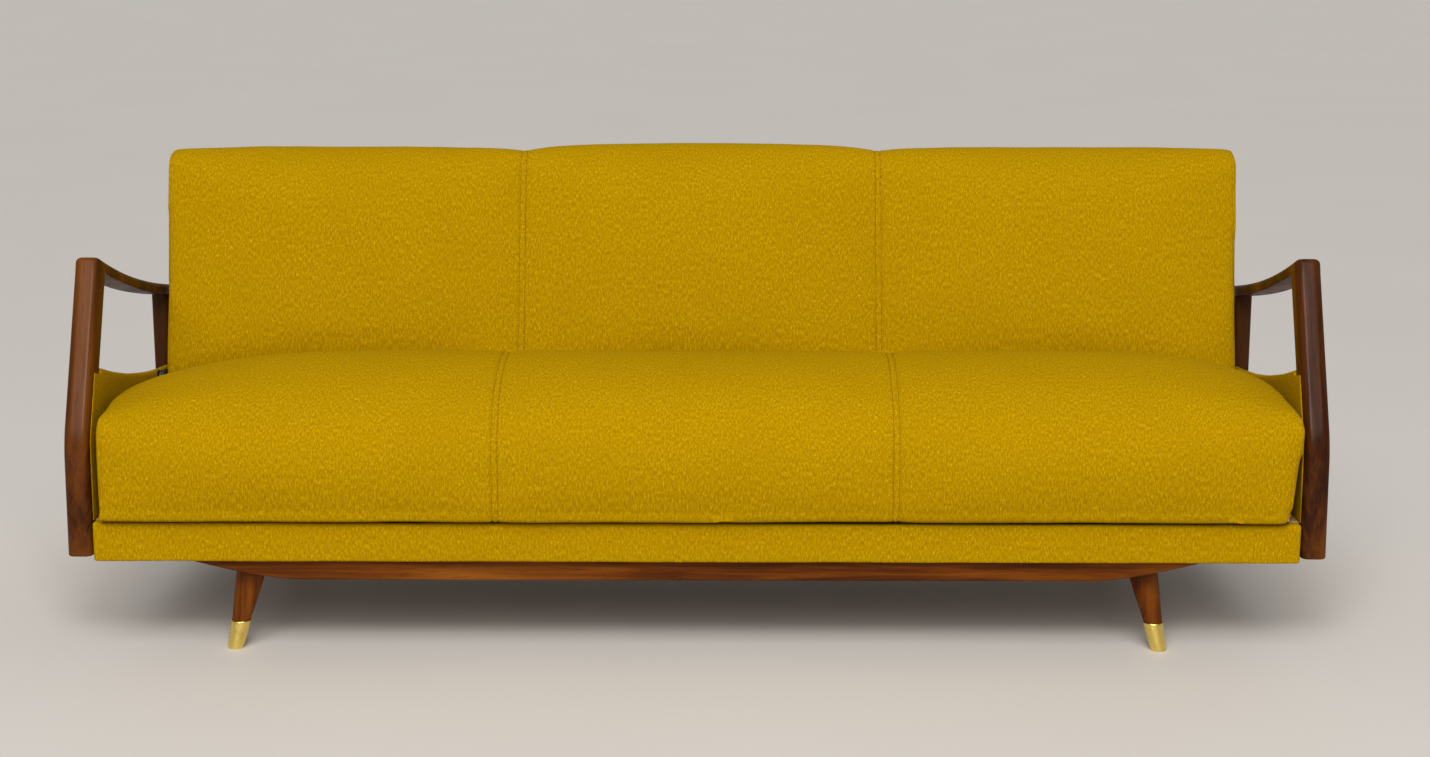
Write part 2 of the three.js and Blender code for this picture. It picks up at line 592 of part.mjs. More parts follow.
function makeBack() {
  // Made upright with its front face on y = 0 and its foot on z = 0, then leaned as a group.
  const back = new THREE.Group();
  const origin = backPlace(0, 0);
  back.position.set(0, origin.y, origin.z);
  back.rotation.x = -BACK_LEAN;
  sofa.add(back);

  const profile = outline([
    [0, 0, 26], [BACK_THICKNESS, 0, 14], [BACK_THICKNESS, BACK_HEIGHT, 24], [0, BACK_HEIGHT, 46],
    [0, BACK_HEIGHT / 2]]);
  const pad = crown(acrossX(profile, -cushionHalf, cushionHalf, { steps: 20 }), cushionHalf, (y, z) => {
    const middle = 1 - (2 * z / BACK_HEIGHT - 1) ** 2;
    const frontal = THREE.MathUtils.clamp(1 - y / BACK_THICKNESS, 0, 1);
    return [-BACK_CROWN * middle * frontal, 0];
  });
  const room = { x: cushionHalf - SKIRT, bottom: SKIRT, top: BACK_HEIGHT - SKIRT };
  const stack = WEB_THICKNESS + BACK_FRAME_DEPTH + COVER_THICKNESS + 3 * GAP;
  const pocket = block(
    [-room.x, room.x], [BACK_THICKNESS - stack, BACK_THICKNESS + 1], [room.bottom, room.top]);
  add('back_cushion', cut(pad, pocket), fabric, back);

  const half = room.x - GAP;
  const z = [room.bottom + GAP, room.top - GAP];
  add('back_cover', block(
    [-half, half], [BACK_THICKNESS - COVER_THICKNESS, BACK_THICKNESS], z), fabric, back);
  const frameRear = BACK_THICKNESS - COVER_THICKNESS - GAP;
  const y = [frameRear - BACK_FRAME_DEPTH, frameRear];
  add('back_frame_bottom', block([-half, half], y, [z[0], z[0] + FRAME_BAR]), beech, back);
  add('back_frame_top', block([-half, half], y, [z[1] - FRAME_BAR, z[1]]), beech, back);
  addPair('back_frame', block([half - FRAME_BAR, half], y, [z[0] + FRAME_BAR + GAP, z[1] - FRAME_BAR - GAP]),
    beech, back);
  add('back_webbing', webSheet(half, [y[0] - GAP - WEB_THICKNESS, y[0] - GAP], z), webbing, back);
}

/** Crossed straps as one flat sheet with windows between them. */
function webSheet(half, y, z) {
  const pitchX = (2 * half - WEB_WIDTH) / WEB_COLUMNS;
  const pitchZ = (z[1] - z[0] - WEB_WIDTH) / WEB_ROWS;
  const windows = [];
  for (let column = 0; column < WEB_COLUMNS; column += 1) {
    for (let row = 0; row < WEB_ROWS; row += 1) {
      const x0 = -half + WEB_WIDTH + column * pitchX;
      const z0 = z[0] + WEB_WIDTH + row * pitchZ;
      windows.push(block([x0, x0 + pitchX - WEB_WIDTH], [y[0] - 1, y[1] + 1], [z0, z0 + pitchZ - WEB_WIDTH]));
    }
  }
  return cut(block([-half, half], y, z), ...windows);
}

// ---------------------------------------------------------------- assembly

makeBox();
makeLegs();
makeArms();
makeHingeBase();
makeHingeArms();
makeSeat();
makeBack();

const bounds = new THREE.Box3().setFromObject(sofa, true);
sofa.position.y = -(bounds.min.y + bounds.max.y) / 2;

export default sofa;
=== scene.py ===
"""Looks of a long fold-out sofa with wooden arms and legs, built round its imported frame.

Everything is in metres. +X runs along the sofa, +Y to its rear and +Z up. "Right" is the side at +X.
"""

import json
import logging
import math
from dataclasses import dataclass, field
from enum import Enum
from typing import Callable, Sequence, Union

import bmesh
import bpy
import numpy as np
from mathutils import Matrix, Vector, geometry, noise
from mathutils.bvhtree import BVHTree


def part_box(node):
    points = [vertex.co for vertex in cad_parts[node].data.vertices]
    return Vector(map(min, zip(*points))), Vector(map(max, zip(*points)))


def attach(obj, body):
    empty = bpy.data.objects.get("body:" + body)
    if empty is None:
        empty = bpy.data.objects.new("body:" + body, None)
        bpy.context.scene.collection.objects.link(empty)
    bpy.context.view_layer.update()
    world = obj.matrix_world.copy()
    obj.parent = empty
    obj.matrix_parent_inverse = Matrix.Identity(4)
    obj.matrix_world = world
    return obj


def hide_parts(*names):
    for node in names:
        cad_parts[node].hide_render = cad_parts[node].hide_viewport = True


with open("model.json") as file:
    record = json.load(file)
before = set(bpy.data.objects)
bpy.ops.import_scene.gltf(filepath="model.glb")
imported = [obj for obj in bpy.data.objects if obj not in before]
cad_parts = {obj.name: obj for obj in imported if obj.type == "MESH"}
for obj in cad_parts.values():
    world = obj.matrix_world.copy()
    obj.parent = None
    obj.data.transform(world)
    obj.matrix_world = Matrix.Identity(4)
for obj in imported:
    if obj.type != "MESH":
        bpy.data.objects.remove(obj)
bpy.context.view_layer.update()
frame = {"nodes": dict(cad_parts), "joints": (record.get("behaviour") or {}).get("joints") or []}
log = logging.getLogger("sofa")

MM = 0.001
CLOTH_MAP = "cloth"
PIVOT = Vector(frame["joints"][0]["pos_m"])


class Side(Enum):
    """The two ends of the sofa, by the sign of X."""

    LEFT = -1
    RIGHT = 1

    @property
    def word(self) -> str:
        """The side's ending in a piece's name."""
        return self.name.lower()


class End(Enum):
    """The front or the rear pair of legs, by the sign of the direction to the sofa's middle."""

    FRONT = 1
    REAR = -1

    @property
    def word(self) -> str:
        """The end's part of a piece's name."""
        return self.name.lower()


class Grain(Enum):
    """The direction in which wood grain runs, as the turn that brings it onto the texture's Z axis."""

    UPRIGHT = (0.0, 0.0, 0.0)
    LEANING = (math.radians(24.6), 0.0, 0.0)
    TO_REAR = (math.radians(76), 0.0, 0.0)
    LENGTHWISE = (0.0, math.radians(90), 0.0)


# ---------------------------------------------------------------- shader expressions


Number = Union[float, int, "Value"]


class Value:
    """A single-number socket that takes part in Python arithmetic by adding Math nodes."""

    def __init__(self, shader: "Shader", socket: bpy.types.NodeSocket) -> None:
        """Wraps a socket.

        Args:
            shader: the material that holds the socket's node.
            socket: an output socket.
        """
        self.shader = shader
        self.socket = socket

    def _math(self, operation: str, first: Number, second: Number) -> "Value":
        """Adds one Math node.

        Args:
            operation: the Math node's operation.
            first: the upper input.
            second: the lower input.

        Returns:
            The node's result.
        """
        made = self.shader.node("ShaderNodeMath", {"operation": operation}, {0: first, 1: second})
        return Value(self.shader, made.outputs[0])

    def __add__(self, other: Number) -> "Value":
        """The sum."""
        return self._math("ADD", self, other)

    __radd__ = __add__

    def __rsub__(self, other: Number) -> "Value":
        """What is left of the other when this value is taken from it."""
        return self._math("SUBTRACT", other, self)

    def __mul__(self, other: Number) -> "Value":
        """The product."""
        return self._math("MULTIPLY", self, other)

    __rmul__ = __mul__

    def sine(self) -> "Value":
        """The sine of the value."""
        return self._math("SINE", self, 0.0)

    def spread(self, low: float, high: float, to_low: float = 0.0, to_high: float = 1.0) -> "Value":
        """Stretches a range of the value onto another, clamped and smooth at its ends.

        Args:
            low: the value that becomes to_low.
            high: the value that becomes to_high.
            to_low: the least result.
            to_high: the greatest result.

        Returns:
            The stretched value.
        """
        made = self.shader.node(
            "ShaderNodeMapRange", {"interpolation_type": "SMOOTHSTEP"},
            {"Value": self, "From Min": low, "From Max": high, "To Min": to_low, "To Max": to_high})
        return Value(self.shader, made.outputs[0])


class Shader:
    """A material with one Principled surface and helpers that add nodes to it."""

    def __init__(self, name: str, **constants: Union[float, Sequence[float]]) -> None:
        """Makes the material.

        Args:
            name: the material's name.
            constants: values of the Principled sockets that are the same all over, with _ for a space.
        """
        self.material = bpy.data.materials.new(name)
        self.material.use_nodes = True
        self.tree = self.material.node_tree
        self.tree.nodes.clear()
        self.surface = self.node("ShaderNodeBsdfPrincipled")
        self.node("ShaderNodeOutputMaterial", None, {"Surface": self.surface.outputs[0]})
        for key, value in constants.items():
            self.surface.inputs[key.replace("_", " ")].default_value = value

    def node(self, kind: str, settings: Union[dict, None] = None, inputs: Union[dict, None] = None) -> bpy.types.Node:
        """Adds any node.

        Args:
            kind: the node's type.
            settings: its properties, set first. "stops" are a ramp's (position, colour) pairs.
            inputs: input names or numbers to values, sockets or Values.

        Returns:
            The node.
        """
        made = self.tree.nodes.new(kind)
        for key, value in (settings or {}).items():
            if key == "stops":
                ramp = made.color_ramp
                while len(ramp.elements) < len(value):
                    ramp.elements.new(1.0)
                for element, (position, colour) in zip(ramp.elements, value):
                    element.position = position
                    element.color = (*colour, 1.0)
            else:
                setattr(made, key, value)
        for key, value in (inputs or {}).items():
            source = value.socket if isinstance(value, Value) else value
            if isinstance(source, bpy.types.NodeSocket):
                self.tree.links.new(source, made.inputs[key])
            else:
                made.inputs[key].default_value = source
        return made

    def place(self, scale: Sequence[float] = (1, 1, 1), turn: Sequence[float] = (0, 0, 0),
              cloth: bool = False) -> bpy.types.NodeSocket:
        """Coordinates for a pattern.

        Args:
            scale: stretch of the pattern along each axis.
            turn: turn of the pattern, in radians.
            cloth: True to follow the cloth map instead of the object.

        Returns:
            The vector socket.
        """
        if cloth:
            source = self.node("ShaderNodeUVMap", {"uv_map": CLOTH_MAP}).outputs[0]
        else:
            source = self.node("ShaderNodeTexCoord").outputs["Object"]
        turned = self.node("ShaderNodeMapping", {"vector_type": "POINT"}, {"Vector": source, "Rotation": turn})
        return self.node("ShaderNodeMapping", None, {"Vector": turned.outputs[0], "Scale": scale}).outputs[0]

    def noise(self, where: bpy.types.NodeSocket, scale: float, detail: float = 2.0, rough: float = 0.5,
              bend: float = 0.0) -> Value:
        """A noise pattern from 0 to 1.

        Args:
            where: the coordinates.
            scale: grains per metre.
            detail: octaves.
            rough: strength of the finer octaves.
            bend: distortion.

        Returns:
            The noise's value.
        """
        made = self.node("ShaderNodeTexNoise", None, {
            "Vector": where, "Scale": scale, "Detail": detail, "Roughness": rough, "Distortion": bend})
        return Value(self, made.outputs[0])

    def parts(self, where: bpy.types.NodeSocket) -> list[Value]:
        """The X, Y and Z of coordinates as three Values."""
        made = self.node("ShaderNodeSeparateXYZ", None, {0: where})
        return [Value(self, output) for output in made.outputs]

    def mix(self, share: Number, first: object, second: object) -> bpy.types.NodeSocket:
        """Mixes two colours.

        Args:
            share: 0 for the first, 1 for the second.
            first: a colour or socket.
            second: a colour or socket.

        Returns:
            The colour socket.
        """
        def colour(value: object) -> object:
            """A socket as it is, or a colour with its alpha."""
            return value if isinstance(value, bpy.types.NodeSocket) else (*value, 1.0)
        made = self.node("ShaderNodeMix", {"data_type": "RGBA"}, {0: share, 6: colour(first), 7: colour(second)})
        return made.outputs[2]

    def feed(self, **inputs: object) -> None:
        """Links varying values into the surface, with _ for a space in a socket's name."""
        for key, value in inputs.items():
            source = value.socket if isinstance(value, Value) else value
            self.tree.links.new(source, self.surface.inputs[key.replace("_", " ")])

    def relief(self, height: Value, depth: float, strength: float = 1.0) -> None:
        """Feeds the surface's normal from a height.

        Args:
            height: 0 to 1 over the surface.
            depth: the height of 1, in metres.
            strength: how much of the relief shows.
        """
        bump = self.node("ShaderNodeBump", None, {"Height": height, "Distance": depth, "Strength": strength})
        self.feed(Normal=bump.outputs[0])


# ---------------------------------------------------------------- finishes


@dataclass(frozen=True)
class WoolFinish:
    """Heathered wool cloth in a plain weave, with the nap of the fibres."""

    name: str = "mustard_wool"
    shade: tuple = (0.315, 0.164, 0.0002)
    body: tuple = (0.455, 0.272, 0.0004)
    fleck: tuple = (0.66, 0.475, 0.009)
    pitch: float = 1.5 * MM

    def material(self) -> bpy.types.Material:
        """Builds the material."""
        shader = Shader(self.name, Sheen_Weight=0.06, Sheen_Roughness=0.5, Sheen_Tint=(0.9, 0.66, 0.01, 1.0),
                        Specular_IOR_Level=0.02)
        threads = shader.place(cloth=True)
        across, along, _ = shader.parts(threads)
        turn = math.tau / self.pitch
        warp = (across * turn).sine()
        weft = (along * turn).sine()
        over = (warp * weft).spread(-0.6, 0.6)
        yarn = shader.noise(shader.place((1.0, 0.16, 1.0), cloth=True), 820, 3, 0.65)
        pick = shader.noise(shader.place((0.22, 1.0, 1.0), cloth=True), 800, 2, 0.6)
        heather = shader.noise(shader.place((1.0, 0.36, 1.0), cloth=True), 330, 4, 0.72)
        cloud = shader.noise(shader.place(), 9, 3, 0.55)
        dark = (heather * 0.55 + yarn * 0.35 + pick * 0.1).spread(0.40, 0.60)
        light = (pick * 0.30 + yarn * 0.3 + heather * 0.40).spread(0.53, 0.64)
        colour = shader.mix(dark, self.shade, self.body)
        colour = shader.mix(light * 0.7, colour, self.fleck)
        colour = shader.mix(cloud.spread(0.35, 0.75, 0.0, 0.14), colour, self.shade)
        fuzz = shader.noise(shader.place(), 1600, 2, 0.6)
        shader.feed(Base_Color=colour, Roughness=heather.spread(0.2, 0.8, 0.82, 0.97))
        shader.relief(over * 0.35 + yarn * 0.25 + pick * 0.25 + fuzz * 0.3, 0.5 * MM, 0.8)
        return shader.material


@dataclass(frozen=True)
class ThreadFinish:
    """Matt sewing thread with its twist."""

    name: str = "sewing_thread"
    colour: tuple = (0.075, 0.034, 0.002)
    light: tuple = (0.19, 0.095, 0.004)

    def material(self) -> bpy.types.Material:
        """Builds the material."""
        shader = Shader(self.name, Specular_IOR_Level=0.1)
        twist = shader.noise(shader.place(), 1800, 2)
        shader.feed(Base_Color=shader.mix(twist.spread(0.4, 0.65), self.colour, self.light),
                    Roughness=twist.spread(0.0, 1.0, 0.6, 0.85))
        shader.relief(twist, 0.2 * MM)
        return shader.material


@dataclass(frozen=True)
class WoodFinish:
    """Wood with pores, growth bands and, where it is varnished, a clear coat."""

    name: str
    grain: Grain
    dark: tuple
    middle: tuple
    light: tuple
    gloss: float = 0.17
    roughness: float = 0.5
    coat_roughness: float = 0.2

    def material(self) -> bpy.types.Material:
        """Builds the material."""
        shader = Shader(self.name, Coat_Roughness=self.coat_roughness, Coat_IOR=1.45, Specular_IOR_Level=0.04)
        turn = self.grain.value
        wander = shader.noise(shader.place((1, 1, 0.12), turn), 14, 3, 0.5)
        bands = shader.noise(shader.place((1, 1, 0.045), turn), 95, 4, 0.6, 0.6)
        pores = shader.noise(shader.place((1, 1, 0.035), turn), 620, 2, 0.55)
        wear = shader.noise(shader.place(), 22, 4, 0.6)
        tone = (bands * 0.6 + wander * 0.5).spread(0.38, 0.72)
        colour = shader.mix(tone, self.dark, self.middle)
        colour = shader.mix(wander.spread(0.5, 0.75, 0.0, 0.55), colour, self.light)
        pit = pores.spread(0.60, 0.72)
        colour = shader.mix(pit * 0.55, colour, tuple(0.4 * part for part in self.dark))
        shader.feed(Base_Color=colour, Roughness=wear.spread(0.3, 0.8, self.roughness, self.roughness + 0.14))
        if self.gloss:
            shader.feed(Coat_Weight=wear.spread(0.25, 0.8, self.gloss, self.gloss * 0.7))
        shader.relief(1 - pit * 0.7 + bands * 0.25, 0.25 * MM, 0.5)
        return shader.material


@dataclass(frozen=True)
class MetalFinish:
    """Bare or plated metal with fine turning or rolling marks."""

    name: str
    colour: tuple
    tarnish: tuple
    roughness: float

    def material(self) -> bpy.types.Material:
        """Builds the material."""
        shader = Shader(self.name, Metallic=1.0)
        marks = shader.noise(shader.place((1, 1, 14)), 120, 3, 0.6)
        stain = shader.noise(shader.place(), 45, 4, 0.6)
        shader.feed(Base_Color=shader.mix(stain.spread(0.5, 0.8, 0.0, 0.6), self.colour, self.tarnish),
                    Roughness=(marks * 0.5 + stain * 0.5).spread(0.3, 0.7, self.roughness, self.roughness + 0.2))
        shader.relief(marks, 0.08 * MM, 0.5)
        return shader.material


@dataclass(frozen=True)
class ClothFinish:
    """A plain woven or felted lining, read from object coordinates."""

    name: str
    colour: tuple
    light: tuple
    pitch: float

    def material(self) -> bpy.types.Material:
        """Builds the material."""
        shader = Shader(self.name, Specular_IOR_Level=0.15)
        x, y, z = shader.parts(shader.place())
        turn = math.tau / self.pitch
        weave = ((x * turn).sine() * ((y + z) * turn).sine()).spread(-0.6, 0.6)
        lint = shader.noise(shader.place(), 420, 3, 0.6)
        shader.feed(Base_Color=shader.mix(weave * 0.5 + lint * 0.5, self.colour, self.light),
                    Roughness=lint.spread(0.2, 0.8, 0.8, 0.98))
        shader.relief(weave * 0.6 + lint * 0.4, 0.3 * MM)
        return shader.material


@dataclass(frozen=True)
class BoardFinish:
    """Pressed hardboard: matt brown fibres."""

    name: str = "hardboard"
    dark: tuple = (0.13, 0.075, 0.035)
    light: tuple = (0.25, 0.155, 0.08)

    def material(self) -> bpy.types.Material:
        """Builds the material."""
        shader = Shader(self.name)
        fibre = shader.noise(shader.place((1, 0.4, 1)), 380, 4, 0.7, 0.5)
        patch = shader.noise(shader.place(), 12, 3)
        shader.feed(Base_Color=shader.mix(fibre * 0.6 + patch * 0.4, self.dark, self.light),
                    Roughness=fibre.spread(0.2, 0.8, 0.65, 0.85))
        shader.relief(fibre, 0.15 * MM)
        return shader.material


class Finishes:
    """Every material of the sofa, each made once."""

    def __init__(self) -> None:
        """Builds the materials."""
        walnut = {"dark": (0.027, 0.0060, 0.0008), "middle": (0.098, 0.026, 0.0024), "light": (0.190, 0.062, 0.006)}
        # This darker copy of the walnut is painted shade for the rear posts, which stand in shade
        shaded_walnut = {"dark": (0.014, 0.0040, 0.0007), "middle": (0.048, 0.0150, 0.0019), "light": (0.090, 0.0330, 0.0040)}
        russet = {"dark": (0.060, 0.0125, 0.0008), "middle": (0.190, 0.050, 0.0030), "light": (0.300, 0.100, 0.009)}
        beech = {"dark": (0.36, 0.21, 0.10), "middle": (0.50, 0.33, 0.18), "light": (0.60, 0.42, 0.25)}
        self.wool = WoolFinish().material()
        self.thread = ThreadFinish().material()
        self.walnut = {
            Grain.LEANING: WoodFinish("walnut_leaning", Grain.LEANING, **walnut).material(),
            Grain.UPRIGHT: WoodFinish("walnut_upright", Grain.UPRIGHT, gloss=0.14, **shaded_walnut).material()}
        self.russet = {
            grain: WoodFinish(f"russet_{grain.name.lower()}", grain, gloss=0.12, **russet).material()
            for grain in (Grain.LENGTHWISE, Grain.UPRIGHT)}
        self.beech = {
            grain: WoodFinish(f"beech_{grain.name.lower()}", grain, gloss=0.0, roughness=0.6, **beech).material()
            for grain in (Grain.LENGTHWISE, Grain.TO_REAR, Grain.UPRIGHT)}
        self.brass = MetalFinish("brass", (0.86, 0.65, 0.17), (0.50, 0.32, 0.07), 0.2).material()
        # The zinc plate is made far darker than bare zinc: painted shade, so the fittings read like the shaded gaps
        # round them
        self.steel = MetalFinish("zinc_plate", (0.12, 0.115, 0.105), (0.13, 0.12, 0.10), 0.42).material()
        self.hardboard = BoardFinish().material()
        self.lining = ClothFinish("black_lining", (0.012, 0.012, 0.011), (0.03, 0.03, 0.028), 1.2 * MM).material()
        self.jute = ClothFinish("jute_webbing", (0.16, 0.11, 0.055), (0.34, 0.25, 0.13), 3.0 * MM).material()
        self.felt = ClothFinish("grey_felt", (0.03, 0.03, 0.03), (0.07, 0.07, 0.07), 2.0 * MM).material()


# ---------------------------------------------------------------- modelling helpers


def clamp(value: float) -> float:
    """The value held between 0 and 1."""
    return max(0.0, min(1.0, value))


def show(name: str, data: bpy.types.ID) -> bpy.types.Object:
    """Makes an object of mesh, light or camera data and puts it into the scene."""
    made = bpy.data.objects.new(name, data)
    bpy.context.scene.collection.objects.link(made)
    return made


def apply_modifiers(made: bpy.types.Object) -> None:
    """Keeps what an object's modifiers make of its mesh, and removes them."""
    graph = bpy.context.evaluated_depsgraph_get()
    made.data = bpy.data.meshes.new_from_object(made.evaluated_get(graph))
    made.modifiers.clear()


def slice_at(bm: bmesh.types.BMesh, places: Sequence[float], axis: int = 0) -> None:
    """Cuts a mesh across at several places and keeps both sides of each cut.

    Args:
        bm: the mesh.
        places: where to cut, along the axis.
        axis: 0 for X, 1 for Y, 2 for Z.
    """
    normal = Matrix.Identity(3)[axis].copy()
    for place in places:
        bmesh.ops.bisect_plane(bm, geom=bm.verts[:] + bm.edges[:] + bm.faces[:], plane_co=normal * float(place),
                               plane_no=normal)


def add_part(whole: bmesh.types.BMesh, part: bmesh.types.BMesh) -> None:
    """Adds a part to a mesh, and frees the part.

    Args:
        whole: the mesh that grows.
        part: what is added.
    """
    kept = bpy.data.meshes.new("part")
    part.to_mesh(kept)
    part.free()
    whole.from_mesh(kept)
    bpy.data.meshes.remove(kept)


def span(edge: bmesh.types.BMEdge, axis: int) -> float:
    """How far an edge reaches along an axis."""
    return abs(edge.verts[0].co[axis] - edge.verts[1].co[axis])


def edges_at_height(bm: bmesh.types.BMesh, height: float) -> list[bmesh.types.BMEdge]:
    """The edges that lie level at a height."""
    return [edge for edge in bm.edges if all(abs(vert.co.z - height) < 1e-5 for vert in edge.verts)]


def drawn_towards(start: tuple[float, float], bend: tuple[float, float], stop: tuple[float, float],
                  points: int) -> list[tuple[float, float]]:
    """A smooth curve in a plane.

    Args:
        start: its first point.
        bend: the point towards which it is drawn.
        stop: its last point.
        points: how many points to return.

    Returns:
        The curve's points.
    """
    near, far = (((end[0] + 2 * bend[0]) / 3, (end[1] + 2 * bend[1]) / 3, 0) for end in (start, stop))
    curve = geometry.interpolate_bezier((*start, 0), near, far, (*stop, 0), points)
    return [(point.x, point.y) for point in curve]


def draw_out(bm: bmesh.types.BMesh, faces: Sequence[bmesh.types.BMFace], way: Sequence[float]) -> None:
    """Turns flat faces into a closed solid.

    Args:
        bm: the mesh.
        faces: its flat faces.
        way: how far and in which direction the solid reaches.
    """
    made = bmesh.ops.extrude_face_region(bm, geom=list(faces))
    moved = [item for item in made["geom"] if isinstance(item, bmesh.types.BMVert)]
    bmesh.ops.translate(bm, verts=moved, vec=way)
    bmesh.ops.recalc_face_normals(bm, faces=bm.faces)


def slab(corners: Sequence[tuple], x0: float, x1: float, segments: int = 6) -> bmesh.types.BMesh:
    """A solid with a side outline in the y-z plane, drawn out along X.

    Args:
        corners: (y, z, rounding) of each corner, in order; rounding is measured along the edges.
        x0: where the solid starts.
        x1: where it ends.
        segments: steps of each rounded corner.

    Returns:
        The solid, with sharp edges at its two ends.
    """
    bm = bmesh.new()
    points = [bm.verts.new((x0, y, z)) for y, z, _ in corners]
    face = bm.faces.new(points)
    for radius in sorted({corner[2] for corner in corners if corner[2] > 0}):
        rounded = [p for p, corner in zip(points, corners) if corner[2] == radius]
        bmesh.ops.bevel(bm, geom=rounded, offset=radius, segments=segments, profile=0.5, affect="VERTICES",
                        material=-1, clamp_overlap=False)
    draw_out(bm, [face] if face.is_valid else bm.faces[:], (x1 - x0, 0, 0))
    return bm


def round_edges(bm: bmesh.types.BMesh, edges: Sequence[bmesh.types.BMEdge], width: float, segments: int = 4) -> None:
    """Rounds edges.

    Args:
        bm: the mesh.
        edges: what to round.
        width: the rounding's size.
        segments: its steps.
    """
    bmesh.ops.bevel(bm, geom=list(edges), offset=width, segments=segments, profile=0.5, affect="EDGES",
                    material=-1, clamp_overlap=True)


def end_edges(bm: bmesh.types.BMesh) -> list[bmesh.types.BMEdge]:
    """The edges of a slab that run round its two flat ends."""
    return [edge for edge in bm.edges if span(edge, 0) < 1e-6]


def mirror_x(bm: bmesh.types.BMesh) -> None:
    """Moves a mesh to the other side of the sofa and turns its faces the right way again."""
    bmesh.ops.scale(bm, vec=(-1, 1, 1), verts=bm.verts)
    bmesh.ops.recalc_face_normals(bm, faces=bm.faces)


def lay_cloth_map(mesh: bpy.types.Mesh, place: Matrix) -> None:
    """Gives a mesh a map in metres along which its cloth runs.

    The cloth runs on over front and top without a break, and the two ends have their own piece.

    Args:
        mesh: the finished mesh.
        place: from the frame in which the cloth lies square to the mesh's own.
    """
    points = np.empty(len(mesh.vertices) * 3)
    mesh.vertices.foreach_get("co", points)
    back = np.array(place.inverted())
    points = points.reshape(-1, 3) @ back[:3, :3].T + back[:3, 3]
    corner = np.empty(len(mesh.loops), dtype=np.int32)
    mesh.loops.foreach_get("vertex_index", corner)
    normal = np.empty(len(mesh.polygons) * 3)
    mesh.polygons.foreach_get("normal", normal)
    size = np.empty(len(mesh.polygons), dtype=np.int32)
    mesh.polygons.foreach_get("loop_total", size)
    at_end = np.repeat(np.abs(normal.reshape(-1, 3)[:, 0]) > 0.7, size)[:, None]
    x, y, z = points[corner].T
    plan = np.where(at_end, np.stack((y, z), 1), np.stack((x, y + z), 1))
    mesh.uv_layers.new(name=CLOTH_MAP).data.foreach_set("uv", plan.ravel())


@dataclass
class Piece:
    """What a finished mesh needs to take its place on the sofa."""

    name: str
    body: str
    slot: str
    material: bpy.types.Material
    stands_for: tuple = ()
    sharp: float = math.radians(40)
    cloth: bool = False
    fill: float = 0.0
    place: Matrix = field(default_factory=Matrix)

    def build(self, bm: bmesh.types.BMesh) -> bpy.types.Object:
        """Turns the mesh into an object that rides on its body.

        Args:
            bm: the mesh, in place; it is freed.

        Returns:
            The object.
        """
        mesh = bpy.data.meshes.new(self.name)
        bm.to_mesh(mesh)
        bm.free()
        return self.dress(bpy.data.objects.new(self.name, mesh))

    def dress(self, made: bpy.types.Object) -> bpy.types.Object:
        """Shades an object, gives it its finish and hangs it on its body.

        Args:
            made: an object whose mesh is final and in place.

        Returns:
            The same object.
        """
        mesh = made.data
        if made.name not in bpy.context.scene.collection.objects:
            bpy.context.scene.collection.objects.link(made)
        mesh.shade_smooth()
        mesh.set_sharp_from_angle(angle=self.sharp)
        mesh.materials.clear()
        mesh.materials.append(self.material)
        if self.cloth:
            lay_cloth_map(mesh, self.place)
        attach(made, self.body)
        if self.stands_for:
            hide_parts(*self.stands_for)
        log.info("%s: %d faces on %s", self.name, len(mesh.polygons), self.body)
        return made


# ---------------------------------------------------------------- cushions


END_CROWN = 0.35        # share of the outward crown that is left at a cushion's ends
FACE_RISE = 0.8         # how much of a field's rise shows on its front face
STITCH_ROW = 5 * MM     # distance of each row of stitches from the middle of its band
LIFT_SHARE = 0.94       # share of the half width over which the lower edge is lifted


